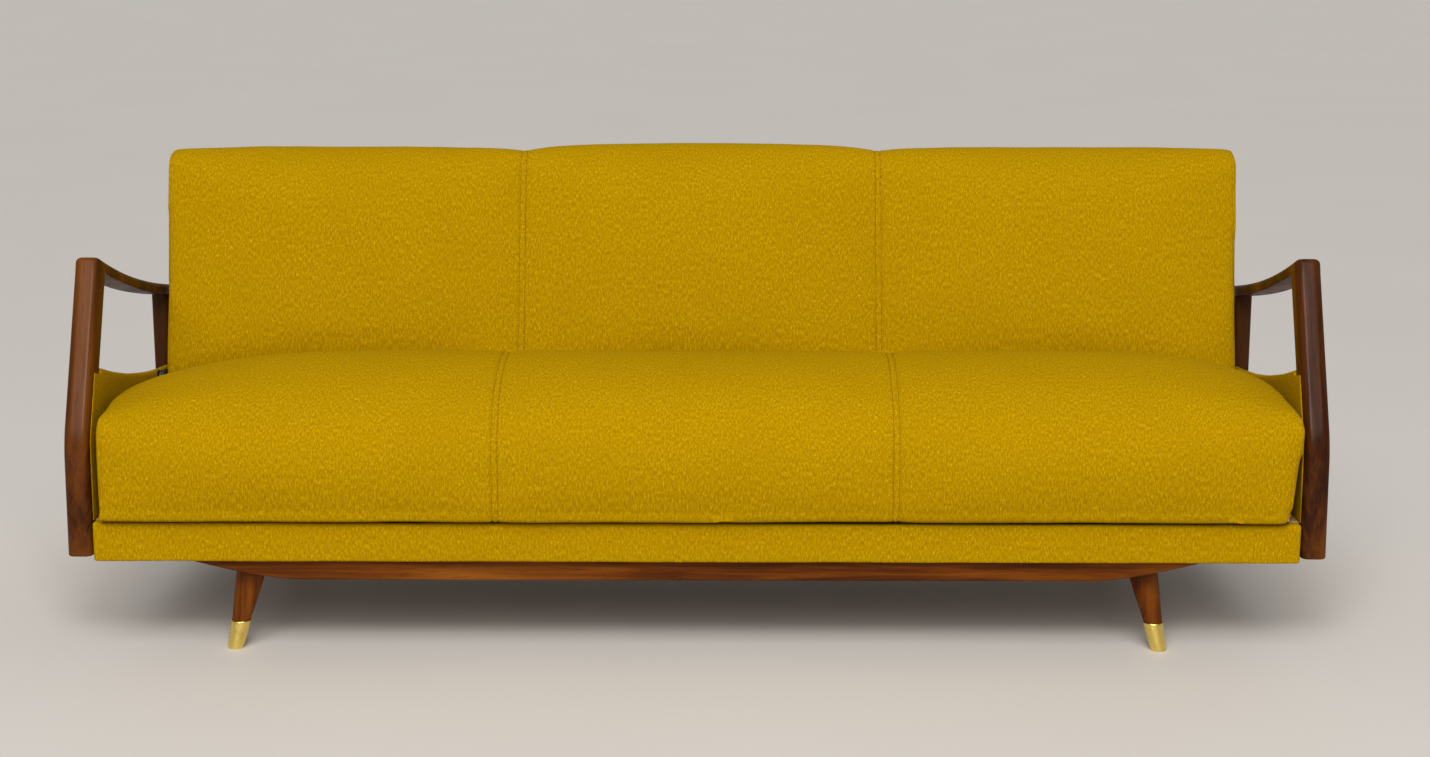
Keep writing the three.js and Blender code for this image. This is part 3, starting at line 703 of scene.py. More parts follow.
@dataclass
class Cushion:
    """A firm, upholstered pad in three fields, with two sewn bands across it.

    It is made upright in its own frame: y = 0 is its front face and z = 0 its lower side.
    """

    name: str
    node: str
    body: str
    corners: tuple
    place: Matrix
    crown_up: float = 0.0
    crown_y: float = 0.0
    crown_reach: float = 1.0
    crown_out: float = 0.0
    fade_left: float = 7.0
    fade_right: float = 7.0
    middle_rise: float = 2 * MM
    side_rise: float = 2 * MM
    swell_left: float = 0.0
    swell_right: float = 0.0
    flare: float = 0.0
    tuck: float = 0.0
    corner_rise: float = 0.0
    lift: float = 0.0
    foot_swell: float = 0.0
    seam_hold: float = 0.95
    square: float = 0.0
    voxel: float = 13 * MM
    shrink: float = 3 * MM
    reach: float = 24 * MM
    pressure: float = 4.0
    seam_share: float = 1 / 3
    held_side: Vector = field(default_factory=lambda: Vector((0, 0, -1)))
    meeting_side: Vector = field(default_factory=lambda: Vector((0, 1, 0)))
    meeting_at: float = 1.0
    half: float = 0.0

    def __post_init__(self) -> None:
        """Takes the pad's half width from its CAD node."""
        low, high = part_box(self.node)
        self.half = (high.x - low.x) / 2
        self.depth = max(corner[0] for corner in self.corners)
        self.height = max(corner[1] for corner in self.corners)

    @property
    def seams(self) -> tuple[float, float]:
        """X of the two sewn bands."""
        return -self.half * self.seam_share, self.half * self.seam_share

    def form(self) -> bmesh.types.BMesh:
        """The pad before its cloth is pulled over it: an outline drawn out along X and crowned."""
        bm = slab(self.corners, -self.half + self.shrink, self.half - self.shrink)
        round_edges(bm, end_edges(bm), 7 * MM, 3)
        strips = 60
        slice_at(bm, [self.half * (2 * strip / strips - 1) for strip in range(1, strips)])
        for vert in bm.verts:
            self.crown(vert)
        return bm

    def crown(self, vert: bmesh.types.BMVert) -> None:
        """Raises one point of the pad's middle, and shapes its two ends.

        Args:
            vert: the point.
        """
        share = min(1.0, abs(vert.co.x) / self.half)
        right = vert.co.x > 0
        fade = 1 - share ** (self.fade_right if right else self.fade_left)
        across = max(0.0, 1 - ((vert.co.y - self.crown_y) / self.crown_reach) ** 2)
        tall = 1 - (2 * vert.co.z / self.height - 1) ** 2
        high = clamp(vert.co.z / self.height)
        at_top = high ** 3
        front = clamp(1 - vert.co.y / self.depth) ** 2
        # each field is a third of the width: its own rise is full in its middle and nothing at its seams
        if share > self.seam_share:
            rise = self.side_rise * (1 - (3 * share - 2) ** 4)
        else:
            rise = self.middle_rise * (1 - (3 * share) ** 4)
        out = self.crown_out * (END_CROWN + (1 - END_CROWN) * fade) + FACE_RISE * rise
        vert.co.z += self.crown_up * fade * across * at_top + rise * at_top
        vert.co.y -= out * front * tall
        if right:
            vert.co.z += self.corner_rise * share ** 14 * at_top
            arch = math.sin(math.pi * min(1.0, share / LIFT_SHARE)) ** 0.6
            vert.co.z += self.lift * arch * (1 - high) ** 6 * front ** 4
        vert.co.x += self.end_shift(vert.co, right) * share ** 8

    def end_shift(self, at: Vector, right: bool) -> float:
        """How far an end of the pad stands out from its straight shape.

        Args:
            at: a point of the end.
            right: True for the end at +X.

        Returns:
            The move along X.
        """
        ramp = 30 * MM
        fittings_top, foot_top, foot_depth = 35 * MM, 150 * MM, 70 * MM
        corner_start, corner_depth = 10 * MM, 22 * MM
        clear = clamp((at.z - fittings_top) / ramp)
        at_foot = self.foot_swell * clear * clamp((foot_top - at.z) / ramp) * max(0.0, 1 - at.y / foot_depth)
        if not right:
            return -self.swell_left * clear - at_foot
        near_front = clamp(1 - (at.y - corner_start) / corner_depth)
        high = clamp(at.z / self.height)
        return self.swell_right * clear + at_foot + near_front * (self.flare * high ** 1.1 - self.tuck * (1 - high))

    def square_up(self, bm: bmesh.types.BMesh) -> None:
        """Makes the lower edges crisp again where the cloth is folded round the frame.

        Args:
            bm: the pad after simulation and smoothing, in its own frame.
        """
        size = self.square
        floor = min(corner[1] for corner in self.corners)
        face = min(corner[0] for corner in self.corners) - END_CROWN * self.crown_out
        most_push = 0.6
        for vert in bm.verts:
            up = 1 - (vert.co.z - floor) / size
            if up <= 0:
                continue
            right = vert.co.x > 0
            edge = self.half - self.shrink + abs(self.end_shift(vert.co, right))
            fore = max(0.0, 1 - (vert.co.y - face) / size)
            side = max(0.0, 1 - (edge - abs(vert.co.x)) / size)
            most = max(up, fore, side)
            if fore + side <= 0 or most <= 0:
                continue
            push = (1 / most - 1) * min(1.0, 3 * up) * 0.9
            if push > 0:
                push = min(push, most_push)
                vert.co.z -= push * up * size
                vert.co.y -= push * fore * size
                vert.co.x += math.copysign(push * side * size, vert.co.x)

    def hold(self, made: bpy.types.Object) -> str:
        """Marks where the cloth is fastened: at the sewn bands, at the end seams and where it is stapled.

        Args:
            made: the remeshed pad.

        Returns:
            The vertex group's name.
        """
        group = made.vertex_groups.new(name="held")
        for vert in made.data.vertices:
            to_seam = min(abs(vert.co.x - seam) for seam in self.seams)
            weight = self.seam_hold * max(0.0, 1 - to_seam / (1.6 * self.voxel))
            if vert.normal.dot(self.held_side) > 0.6:
                weight = 1.0
            if self.half - self.shrink - abs(vert.co.x) < 1.5 * self.voxel:
                weight = max(weight, 0.7)
            group.add([vert.index], weight, "REPLACE")
        return group.name

    def inflate(self, made: bpy.types.Object) -> None:
        """Blows the cloth out a little by simulation and keeps the result in the mesh.

        Args:
            made: the remeshed pad.
        """
        start = [vert.co.copy() for vert in made.data.vertices]
        cloth = made.modifiers.new("Cloth", "CLOTH")
        settings = cloth.settings
        settings.vertex_group_mass = self.hold(made)
        settings.use_pressure = True
        settings.uniform_pressure_force = self.pressure
        settings.effector_weights.gravity = 0.0
        settings.quality = 4
        settings.mass = 0.35
        settings.tension_stiffness = settings.compression_stiffness = 22
        settings.shear_stiffness = 12
        settings.bending_stiffness = 1.2
        settings.pin_stiffness = 1.0
        scene = bpy.context.scene
        frames = 20
        for step in range(1, frames + 1):
            scene.frame_set(step)
        graph = bpy.context.evaluated_depsgraph_get()
        shaped = bpy.data.meshes.new_from_object(made.evaluated_get(graph))
        made.modifiers.clear()
        moved = []
        for vert, old in zip(shaped.vertices, start):
            move = vert.co - old
            moved.append(move.length)
            if move.length > self.reach:
                vert.co = old + move.normalized() * self.reach
        log.info("%s: cloth moved %.1f mm at most", self.name, max(moved) / MM)
        made.vertex_groups.clear()
        made.data = shaped
        scene.frame_set(1)

    def upholstered(self) -> bpy.types.Object:
        """The pad after remeshing and simulation, still in its own frame."""
        mesh = bpy.data.meshes.new(self.name)
        bm = self.form()
        bm.to_mesh(mesh)
        bm.free()
        made = show(self.name, mesh)
        remesh = made.modifiers.new("Remesh", "REMESH")
        remesh.mode = "VOXEL"
        remesh.voxel_size = self.voxel
        apply_modifiers(made)
        self.inflate(made)
        return made

    def sew(self, bm: bmesh.types.BMesh) -> None:
        """Presses the two sewn bands and the end seams into the cloth.

        Args:
            bm: the pad after simulation and smoothing, in its own frame.
        """
        reach, ruck = 55 * MM, 23 * MM
        edge = self.half + self.swell_left - self.shrink - 9 * MM
        shifts = (-20, -12, -7.6, -5, -2.6, 2.6, 5, 7.6, 12, 20)
        cuts = [seam + shift * MM for seam in self.seams for shift in shifts]
        cuts += [side * (edge + shift * MM) for side in (-1, 1) for shift in (-6, -2.2, 0, 2.2)]
        slice_at(bm, cuts)
        bm.normal_update()
        moves = []
        for vert in bm.verts:
            off = min(abs(vert.co.x - seam) for seam in self.seams)
            pucker = 0.5 + 0.5 * math.sin((vert.co.y + vert.co.z) * math.tau / ruck + 3 * vert.co.x)
            depth = 0.0
            if off < reach:
                depth += (1 - off / reach) ** 2 * (2.6 * self.seam_hold + 0.6 * pucker) * MM
                if abs(off - STITCH_ROW) < 1.2 * MM:
                    depth += 1.7 * MM
            if abs(abs(vert.co.x) - edge) < 2 * MM:
                depth += 0.9 * MM
            moves.append(depth)
        for vert, depth in zip(bm.verts, moves):
            vert.co -= vert.normal * depth

    def make(self, finishes: Finishes, fill: float) -> bpy.types.Object:
        """Builds the cushion and its stitching.

        Args:
            finishes: the sofa's materials.
            fill: how tightly it is stuffed, 0 to 1; not used.

        Returns:
            The cushion.
        """
        made = self.upholstered()
        smooth = made.modifiers.new("Subdivision", "SUBSURF")
        smooth.levels = smooth.render_levels = 1
        apply_modifiers(made)
        bm = bmesh.new()
        bm.from_mesh(made.data)
        if self.square:
            self.square_up(bm)
        self.ease(bm)
        self.sew(bm)
        for vert in bm.verts:
            over = vert.co.dot(self.meeting_side) - self.meeting_at
            if over > 0:
                vert.co -= self.meeting_side * over
        stitches = self.stitch(BVHTree.FromBMesh(bm))
        for part in (bm, stitches):
            bmesh.ops.transform(part, matrix=self.place, verts=part.verts)
        bm.to_mesh(made.data)
        bm.free()
        Piece(f"{self.name}_stitching", self.body, "upholstery", finishes.thread).build(stitches)
        return Piece(self.name, self.body, "upholstery", finishes.wool, (self.node,), math.radians(70), True, fill,
                     self.place).dress(made)

    def ease(self, bm: bmesh.types.BMesh) -> None:
        """Adds the slow unevenness of hand-laid padding.

        Args:
            bm: the pad, in its own frame.
        """
        bm.normal_update()
        for vert in bm.verts:
            slow = noise.noise(vert.co * 5.5 + Vector((3.1, 0.7, 9.2)))
            quick = noise.noise(vert.co * 19.0 + Vector((7.3, 2.9, 1.4)))
            vert.co += vert.normal * (1.6 * slow + 0.45 * quick) * MM

    def line_over(self, tree: BVHTree, x: float, pitch: float) -> list[tuple[Vector, Vector, Vector]]:
        """Walks over the pad from its lower front edge to its rear edge in equal steps.

        Args:
            tree: the pad's surface.
            x: where to walk.
            pitch: the length of a step.

        Returns:
            (point, normal, direction) of each step.
        """
        centre = Vector((x, self.depth * 0.5, self.height * 0.5))
        hits = []
        rays = 900
        for step in range(rays):
            angle = math.radians(-175 + 340 * step / (rays - 1))
            ray = Vector((0, -math.cos(angle), math.sin(angle)))
            point, normal, _, _ = tree.ray_cast(centre, ray)
            if point is not None and not normal.dot(self.held_side) > 0.7:
                hits.append((point, normal))
        steps = []
        run = pitch
        for (a, normal), (b, _) in zip(hits, hits[1:]):
            length = (b - a).length
            if length > 12 * MM or length < 1e-7:
                continue
            run += length
            if run >= pitch:
                run -= pitch
                steps.append((a.copy(), normal.copy(), (b - a).normalized()))
        return steps

    def stitch(self, tree: BVHTree) -> bmesh.types.BMesh:
        """Two rows of thread on each sewn band.

        Args:
            tree: the pad's surface.

        Returns:
            The stitches as one mesh, in the pad's own frame.
        """
        whole = bmesh.new()
        length, thick = 3.4 * MM, 1.1 * MM
        for seam in self.seams:
            for row in (-STITCH_ROW, STITCH_ROW):
                line = bmesh.new()
                for point, normal, along in self.line_over(tree, seam + row, 5.0 * MM):
                    side = along.cross(normal).normalized()
                    turn = Matrix((side, along, normal)).transposed().to_4x4()
                    size = Matrix.Diagonal((thick / 2, length / 2, thick / 2, 1))
                    bmesh.ops.create_uvsphere(line, u_segments=6, v_segments=4, radius=1.0,
                                              matrix=Matrix.Translation(point + normal * 0.1 * MM) @ turn @ size)
                add_part(whole, line)
        return whole


# ---------------------------------------------------------------- bedding box


@dataclass
class BeddingBox:
    """The covered rails of the box under the seat, and the bare wood inside it."""

    finishes: Finishes
    edge: float = 5 * MM

    def covered_rail(self, node: str) -> None:
        """A rail with cloth pulled over it, a little uneven along its edges.

        Args:
            node: the CAD rail.
        """
        low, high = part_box(node)
        low, high = low + Vector((0.2 * MM,) * 3), high - Vector((0.2 * MM,) * 3)
        bm = bmesh.new()
        bmesh.ops.create_cube(bm, size=1.0)
        bmesh.ops.scale(bm, vec=high - low, verts=bm.verts)
        bmesh.ops.translate(bm, vec=(low + high) / 2, verts=bm.verts)
        round_edges(bm, bm.edges[:], self.edge, 4)
        strips = 160
        slice_at(bm, [low.x + (high.x - low.x) * strip / strips for strip in range(1, strips)])
        slice_at(bm, [low.z + (high.z - low.z) * share for share in (0.14, 0.3, 0.5, 0.7, 0.86)], 2)
        bm.normal_update()
        for vert in bm.verts:
            slow = noise.noise(vert.co * 9 + Vector((1.0, 4.0, 2.0)))
            quick = noise.noise(vert.co * 55)
            vert.co += vert.normal * (0.6 * slow + 0.35 * quick - 0.4) * MM
        Piece(f"{node}_cover", "base", "upholstery", self.finishes.wool, (node,), math.radians(50), True).build(bm)

    def bare_wood(self) -> None:
        """Gives the unseen timber and board their finishes."""
        woods = {
            Grain.TO_REAR: ["side_rail_left", "side_rail_right", "floor_bearer_left", "floor_bearer_right"],
            Grain.UPRIGHT: [f"leg_block_{end.word}_{side.word}" for end in End for side in Side],
        }
        for grain, nodes in woods.items():
            for node in nodes:
                carry_over(node, self.finishes.beech[grain], 1.5 * MM)
        carry_over("box_floor", self.finishes.hardboard)
        for side in Side:
            carry_over(f"seat_buffer_{side.word}", self.finishes.felt, 0.8 * MM)
            for end in End:
                carry_over(f"post_bolt_{end.word}_{side.word}", self.finishes.steel, 0.5 * MM)

    def keel(self) -> None:
        """The varnished rail under the box, curved up at its ends."""
        low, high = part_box("keel_rail")
        flat = 0.77 * high.x
        bend = flat + (high.x - flat) / 3
        outline = drawn_towards((-high.x, high.z), (-bend, low.z), (-flat, low.z), 14)
        outline += [(-x, z) for x, z in reversed(outline)]
        bm = bmesh.new()
        face = bm.faces.new([bm.verts.new((x, low.y, z)) for x, z in outline])
        draw_out(bm, [face], (0, high.y - low.y, 0))
        lower = [edge for edge in bm.edges
                 if span(edge, 1) < 1e-6 and min(vert.co.z for vert in edge.verts) < high.z - 1e-4]
        round_edges(bm, lower, 4 * MM, 4)
        Piece("keel_rail_shaped", "base", "walnut_wood", self.finishes.russet[Grain.LENGTHWISE],
              ("keel_rail",), math.radians(35)).build(bm)

    def make(self) -> None:
        """Builds everything of the box."""
        for node in ("front_rail", "rear_rail"):
            self.covered_rail(node)
        self.keel()
        self.bare_wood()


def carry_over(node: str, material: bpy.types.Material, edge: float = 0.0) -> None:
    """Gives a CAD node its finish and, where asked, softened edges.

    Args:
        node: the CAD node.
        material: its finish.
        edge: width of the softened edges, 0 for none.
    """
    made = frame["nodes"][node]
    made.data.materials.clear()
    made.data.materials.append(material)
    if edge:
        weld = made.modifiers.new("Weld", "WELD")
        weld.merge_threshold = 0.05 * MM
        bevel = made.modifiers.new("Bevel", "BEVEL")
        bevel.width = edge
        bevel.segments = 2
        bevel.limit_method = "ANGLE"
        bevel.angle_limit = math.radians(40)
    log.info("%s: kept from the frame", node)


# ---------------------------------------------------------------- legs


@dataclass
class Leg:
    """One splayed leg with its brass ferrule."""

    finishes: Finishes
    end: End
    side: Side
    ring: int = 40

    def turned(self, profile: Sequence[tuple[float, float]]) -> bmesh.types.BMesh:
        """A solid turned round the z axis.

        Args:
            profile: (radius, height) of each point, from the axis round to the axis.

        Returns:
            The solid.
        """
        bm = bmesh.new()
        points = [bm.verts.new((radius, 0, z)) for radius, z in profile]
        edges = [bm.edges.new(pair) for pair in zip(points, points[1:])]
        bmesh.ops.spin(bm, geom=points + edges, cent=(0, 0, 0), axis=(0, 0, 1), angle=math.tau, steps=self.ring,
                       use_merge=True)
        bmesh.ops.remove_doubles(bm, verts=bm.verts, dist=1e-6)
        bmesh.ops.recalc_face_normals(bm, faces=bm.faces)
        return bm

    def lean(self, bm: bmesh.types.BMesh, foot: Vector, top: Vector) -> None:
        """Leans an upright solid so that its axis runs from foot to top.

        Args:
            bm: the solid.
            foot: its lowest point on the axis.
            top: its highest.
        """
        slope = (top - foot) / (top.z - foot.z)
        shear = Matrix(((1, 0, slope.x, foot.x), (0, 1, slope.y, foot.y), (0, 0, 1, 0), (0, 0, 0, 1)))
        bmesh.ops.transform(bm, matrix=shear, verts=bm.verts)

    def make(self) -> None:
        """Builds the wood and the brass."""
        tail = f"{self.end.word}_{self.side.word}"
        wood_low, wood_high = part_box(f"leg_{tail}")
        cup_low, cup_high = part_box(f"ferrule_{tail}")
        radius = 27 * MM
        sole = 13.6 * MM
        out, fore = self.side.value, -self.end.value
        inner_x = wood_low.x if out > 0 else wood_high.x
        inner_y = wood_high.y if fore < 0 else wood_low.y
        top = Vector((inner_x + out * radius, inner_y + fore * radius, wood_high.z))
        outer_x = cup_high.x if out > 0 else cup_low.x
        outer_y = cup_low.y if fore < 0 else cup_high.y
        foot = Vector((outer_x - out * sole, outer_y - fore * sole, 0.0))
        at_mouth = 15.5 * MM
        mouth = cup_high.z
        slope = (radius - at_mouth) / (top.z - mouth)
        low_end = wood_low.z
        bottom = radius - slope * (top.z - low_end)
        wood = self.turned([
            (0, low_end), (bottom - 0.4 * MM, low_end), (bottom, low_end + 0.4 * MM), (at_mouth, mouth),
            ((at_mouth + radius) / 2 + 0.3 * MM, (mouth + top.z) / 2), (radius - 0.6 * MM, top.z - 0.8 * MM),
            (radius - 1.4 * MM, top.z), (0, top.z)])
        lip = at_mouth + 1.7 * MM
        cup = self.turned([
            (0, 0), (sole - 1.6 * MM, 0), (sole - 0.5 * MM, 0.45 * MM), (sole, 1.6 * MM),
            (sole + (lip - sole) * 0.3, mouth * 0.3), (lip - 0.05 * MM, mouth - 2.2 * MM), (lip, mouth - 0.6 * MM),
            (lip - 0.5 * MM, mouth), (lip - 1.2 * MM, mouth - 0.2 * MM), (bottom + 0.35 * MM, low_end),
            (0, low_end - 0.3 * MM)])
        nail_turn = math.radians(250)
        nail = Vector((math.cos(nail_turn), math.sin(nail_turn), 0))
        nail_z = mouth - 8 * MM
        nail_r = sole + (lip - sole) * nail_z / mouth
        turn = nail.to_track_quat("Z", "Y").to_matrix().to_4x4()
        bmesh.ops.create_uvsphere(cup, u_segments=14, v_segments=8, radius=1.0, matrix=Matrix.Translation(
            nail * nail_r + Vector((0, 0, nail_z))) @ turn @ Matrix.Diagonal((1.9 * MM, 1.9 * MM, 0.8 * MM, 1)))
        for bm in (wood, cup):
            self.lean(bm, foot, top)
        Piece(f"leg_{tail}_turned", "base", "walnut_wood", self.finishes.russet[Grain.UPRIGHT],
              (f"leg_{tail}",)).build(wood)
        Piece(f"ferrule_{tail}_spun", "base", "ferrule_brass", self.finishes.brass, (f"ferrule_{tail}",)).build(cup)


# ---------------------------------------------------------------- arms


@dataclass
class Arm:
    """The bent front post, the armrest, the rear post and the covered panel of one end."""

    finishes: Finishes
    side: Side
    knee: float = 0.368
    lean: float = math.radians(24.6)
    post_depth: float = 0.050
    foot_shift: float = -0.006
    rest_thick: float = 0.020
    bulge: float = 0.012
    narrowing: float = 0.008
    front_round: float = 0.013
    edge_round: float = 0.008

    def __post_init__(self) -> None:
        """Takes places from the CAD nodes of the right-hand end; the left-hand end is mirrored."""
        self.box = {name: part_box(f"{name}_right") for name in ("front_post", "armrest", "rear_post", "side_panel")}
        low, _ = self.box["front_post"]
        self.x0, self.x1 = self.box["front_post"][0].x, self.box["front_post"][1].x
        self.foot_z = low.z
        self.knee_y = low.y - self.foot_shift
        self.top_z = self.box["armrest"][1].z
        self.front_y = self.knee_y + (self.top_z - self.knee) * math.tan(self.lean)
        self.rear_y = self.box["armrest"][1].y
        self.rear_z = self.box["armrest"][0].z + self.rest_thick

    def top_line(self) -> list[tuple[float, float]]:
        """(y, z) along the armrest's upper side, from its front to its rear."""
        bend_y = self.front_y + 0.43 * (self.rear_y - self.front_y)
        bend_z = self.top_z + 0.62 * (self.rear_z - self.top_z)
        return drawn_towards((self.front_y, self.top_z), (bend_y, bend_z), (self.rear_y, self.rear_z), 34)

    def underside(self, y: float) -> float:
        """Height of the armrest's underside at a depth.

        Args:
            y: the depth.

        Returns:
            The underside's z.
        """
        line = self.top_line()
        for (y0, z0), (y1, z1) in zip(line, line[1:]):
            if y <= y1:
                return z0 + (z1 - z0) * (y - y0) / (y1 - y0) - self.rest_thick
        return line[-1][1] - self.rest_thick

    def finish(self, name: str, bm: bmesh.types.BMesh, grain: Grain) -> None:
        """Puts a wooden member on its side of the sofa.

        Args:
            name: the member's CAD name without its side.
            bm: the member on the right-hand side.
            grain: how its grain runs.
        """
        if self.side is Side.LEFT:
            mirror_x(bm)
        node = f"{name}_{self.side.word}"
        Piece(f"{node}_shaped", "base", "walnut_wood", self.finishes.walnut[grain], (node,),
              math.radians(32)).build(bm)

    def front_post(self) -> None:
        """The post with its knee; its head is cut to the armrest's underside."""
        tangent = math.tan(self.lean)
        level = self.post_depth / math.cos(self.lean)
        line = self.top_line()
        fall = (line[0][1] - line[1][1]) / (line[1][0] - line[0][0])
        head_y = self.front_y - self.rest_thick * tangent
        head_z = self.top_z - self.rest_thick
        drop = level * fall / (1 + tangent * fall)
        knee_drop = self.post_depth * math.tan(self.lean / 2)
        foot_y = self.knee_y + self.foot_shift
        bm = slab([
            (foot_y, self.foot_z, 0), (foot_y + self.post_depth, self.foot_z, 0),
            (self.knee_y + self.post_depth, self.knee - knee_drop, 0.030),
            (head_y + level - drop * tangent, head_z - drop, 0), (head_y, head_z, 0),
            (self.knee_y, self.knee, 0.030)], self.x0, self.x1, 8)

        def in_front(edge: bmesh.types.BMEdge) -> bool:
            """Tells whether an edge runs along the post's front face.

            Args:
                edge: an edge of the post.

            Returns:
                True if its middle is near that face.
            """
            middle = (edge.verts[0].co + edge.verts[1].co) / 2
            face = self.knee_y + max(0.0, middle.z - self.knee) * tangent
            return middle.y < face + 12 * MM

        def at_head(edge: bmesh.types.BMEdge) -> bool:
            """Tells whether an edge lies in the joint with the armrest."""
            return min(vert.co.z for vert in edge.verts) > head_z - drop - 1e-4 and span(edge, 1) > 0.02

        sloping = 1e-5
        front = [edge for edge in end_edges(bm) if in_front(edge) and not at_head(edge) and span(edge, 2) > sloping]
        round_edges(bm, front, self.front_round, 6)
        rear = [edge for edge in end_edges(bm) if not at_head(edge) and not in_front(edge)
                and span(edge, 2) > sloping and edge.calc_face_angle(0) > 1.2]
        round_edges(bm, rear, self.edge_round, 5)
        round_edges(bm, edges_at_height(bm, self.foot_z), 2.5 * MM, 3)
        self.finish("front_post", bm, Grain.LEANING)

    def armrest(self) -> None:
        """The flat, hollow-curved rest, widest in its middle: a straight bar with soft edges, then bent."""
        line = self.top_line()
        thick = self.rest_thick
        level = self.post_depth / math.cos(self.lean)
        bm = slab([(0, -thick, 0), (0, 0, 0), (1, 0, 0), (1, -thick, 0)], self.x0, self.x1)
        run = self.rear_y - self.front_y
        on_post = level / run
        slice_at(bm, [on_post], 1)

        def picked(test: Callable[[Vector, Vector], bool]) -> list[bmesh.types.BMEdge]:
            """The sharp edges whose two ends pass a test."""
            return [e for e in bm.edges if e.calc_face_angle(0) > 0.5 and test(e.verts[0].co, e.verts[1].co)]

        nose = picked(lambda a, b: a.y < 1e-6 and b.y < 1e-6 and abs(a.z - b.z) > 0.01)
        bmesh.ops.scale(bm, vec=(1, run, 1), verts=bm.verts)
        round_edges(bm, nose, self.front_round, 6)
        round_edges(bm, picked(lambda a, b: a.z > -1e-6 and b.z > -1e-6), self.edge_round, 5)
        under = picked(lambda a, b: a.z < 1e-6 - thick and b.z < 1e-6 - thick and min(a.y, b.y) > level - 1e-4)
        round_edges(bm, under, 3 * MM, 3)
        slice_at(bm, [y - self.front_y for y, _ in line[1:-1]], 1)
        for vert in bm.verts:
            along = clamp(vert.co.y / run)
            outward = (vert.co.x - self.x0) / (self.x1 - self.x0)
            vert.co.x += (self.bulge * math.sin(math.pi * along) - self.narrowing * along) * outward
            depth = vert.co.z
            vert.co.y += self.front_y
            vert.co.z = self.underside(vert.co.y) + thick + depth
            vert.co.y += depth * math.tan(self.lean) * max(0.0, 1 - along / (2 * on_post))
        self.finish("armrest", bm, Grain.LEANING)

    def rear_post(self) -> None:
        """The upright rear post, a little slimmer at its foot."""
        low, high = self.box["rear_post"]
        taper = 0.005
        bm = slab([
            (low.y + taper, low.z, 0), (high.y - taper, low.z, 0),
            (high.y, self.underside(high.y) - 0.3 * MM, 0), (low.y, self.underside(low.y) - 0.3 * MM, 0)],
            low.x, high.x)
        round_edges(bm, [edge for edge in bm.edges if span(edge, 2) > 0.1], 9 * MM, 5)
        round_edges(bm, edges_at_height(bm, low.z), 2 * MM, 3)
        # the rear post gets the darker copy of the walnut, which is painted shade
        self.finish("rear_post", bm, Grain.UPRIGHT)

    def panel_corners(self, set_back: float, rear: float, bottom: float, inset: float) -> list[tuple]:
        """The outline of the covered panel.

        Args:
            set_back: distance of its front edge behind the post's front face.
            rear: y of its rear edge.
            bottom: z of its lower edge.
            inset: how far the whole outline is drawn in.

        Returns:
            Corners for slab().
        """
        tangent = math.tan(self.lean)
        top_front, top_rear, sag = 0.476 - inset, 0.384 - inset, 0.026

        def front(z: float) -> float:
            """Y of the panel's front edge at a height.

            Args:
                z: the height.

            Returns:
                The edge's y.
            """
            above = max(0.0, z - self.knee) * tangent
            below = self.foot_shift * max(0.0, self.knee - z) / (self.knee - self.foot_z)
            return self.knee_y + above + below + set_back + inset
        low_z = (top_front + top_rear) / 2 - sag
        start, stop = (front(top_front), top_front), (rear - inset, top_rear)
        bend = ((start[0] + stop[0]) / 2, low_z)
        corners = [(front(bottom), bottom + inset, 0), (rear - inset, bottom + inset, 0)]
        corners += [(*point, 0) for point in drawn_towards(stop, bend, start, 18)]
        return corners + [(front(self.knee), self.knee, 0)]

    def panel(self) -> None:
        """The panel: a thin covered skin that laps inside the front post and a padded core behind it."""
        low, high = self.box["side_panel"]
        rear_low, _ = self.box["rear_post"]
        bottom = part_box("side_rail_right")[1].z + 0.3 * MM
        level = self.post_depth / math.cos(self.lean) + 0.6 * MM
        rear = rear_low.y - 0.3 * MM
        fitting_front = PIVOT.y - 80 * MM
        fitting_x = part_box("hinge_plate_right")[1].x + 0.3 * MM
        joined = bmesh.new()
        parts = (
            (0.012, bottom, self.x0 - 2.6 * MM, self.x0 - 0.4 * MM, fitting_front, 1.0 * MM),
            (level, bottom, self.x0 - 2.4 * MM, high.x - 2.5 * MM, fitting_front, 5 * MM),
            (level, bottom, fitting_x, high.x - 2.5 * MM, rear, 4 * MM),
            (level, self.foot_z, self.x0, high.x, rear, 5 * MM))
        for front, floor, x0, x1, end, rounding in parts:
            bm = slab(self.panel_corners(front, rear, floor, 0.6 * MM), x0, x1)
            if end < rear:
                cut = bmesh.ops.bisect_plane(bm, geom=bm.verts[:] + bm.edges[:] + bm.faces[:], plane_co=(0, end, 0),
                                             plane_no=(0, 1, 0), clear_outer=True)
                rim = [item for item in cut["geom_cut"] if isinstance(item, bmesh.types.BMEdge)]
                bmesh.ops.edgeloop_fill(bm, edges=rim)
            rims = [e for e in bm.edges if e.calc_face_angle(0) > 0.9]
            round_edges(bm, rims, min(rounding, 0.45 * (x1 - x0)), 3)
            add_part(joined, bm)
        mesh_width = 12 * MM
        slice_at(joined, np.arange(self.knee_y, rear, mesh_width), 1)
        slice_at(joined, np.arange(self.foot_z + 0.01, 0.47, mesh_width), 2)
        if self.side is Side.LEFT:
            mirror_x(joined)
        joined.normal_update()
        for vert in joined.verts:
            vert.co += vert.normal * (0.6 * noise.noise(vert.co * 14) + 0.25 * noise.noise(vert.co * 60) - 0.4) * MM
        node = f"side_panel_{self.side.word}"
        Piece(f"{node}_cover", "base", "upholstery", self.finishes.wool, (node,), math.radians(60), True,
              0.9).build(joined)

    def make(self) -> None:
        """Builds the whole arm."""
        self.front_post()
        self.armrest()
        self.rear_post()
        self.panel()


# ---------------------------------------------------------------- seat and back


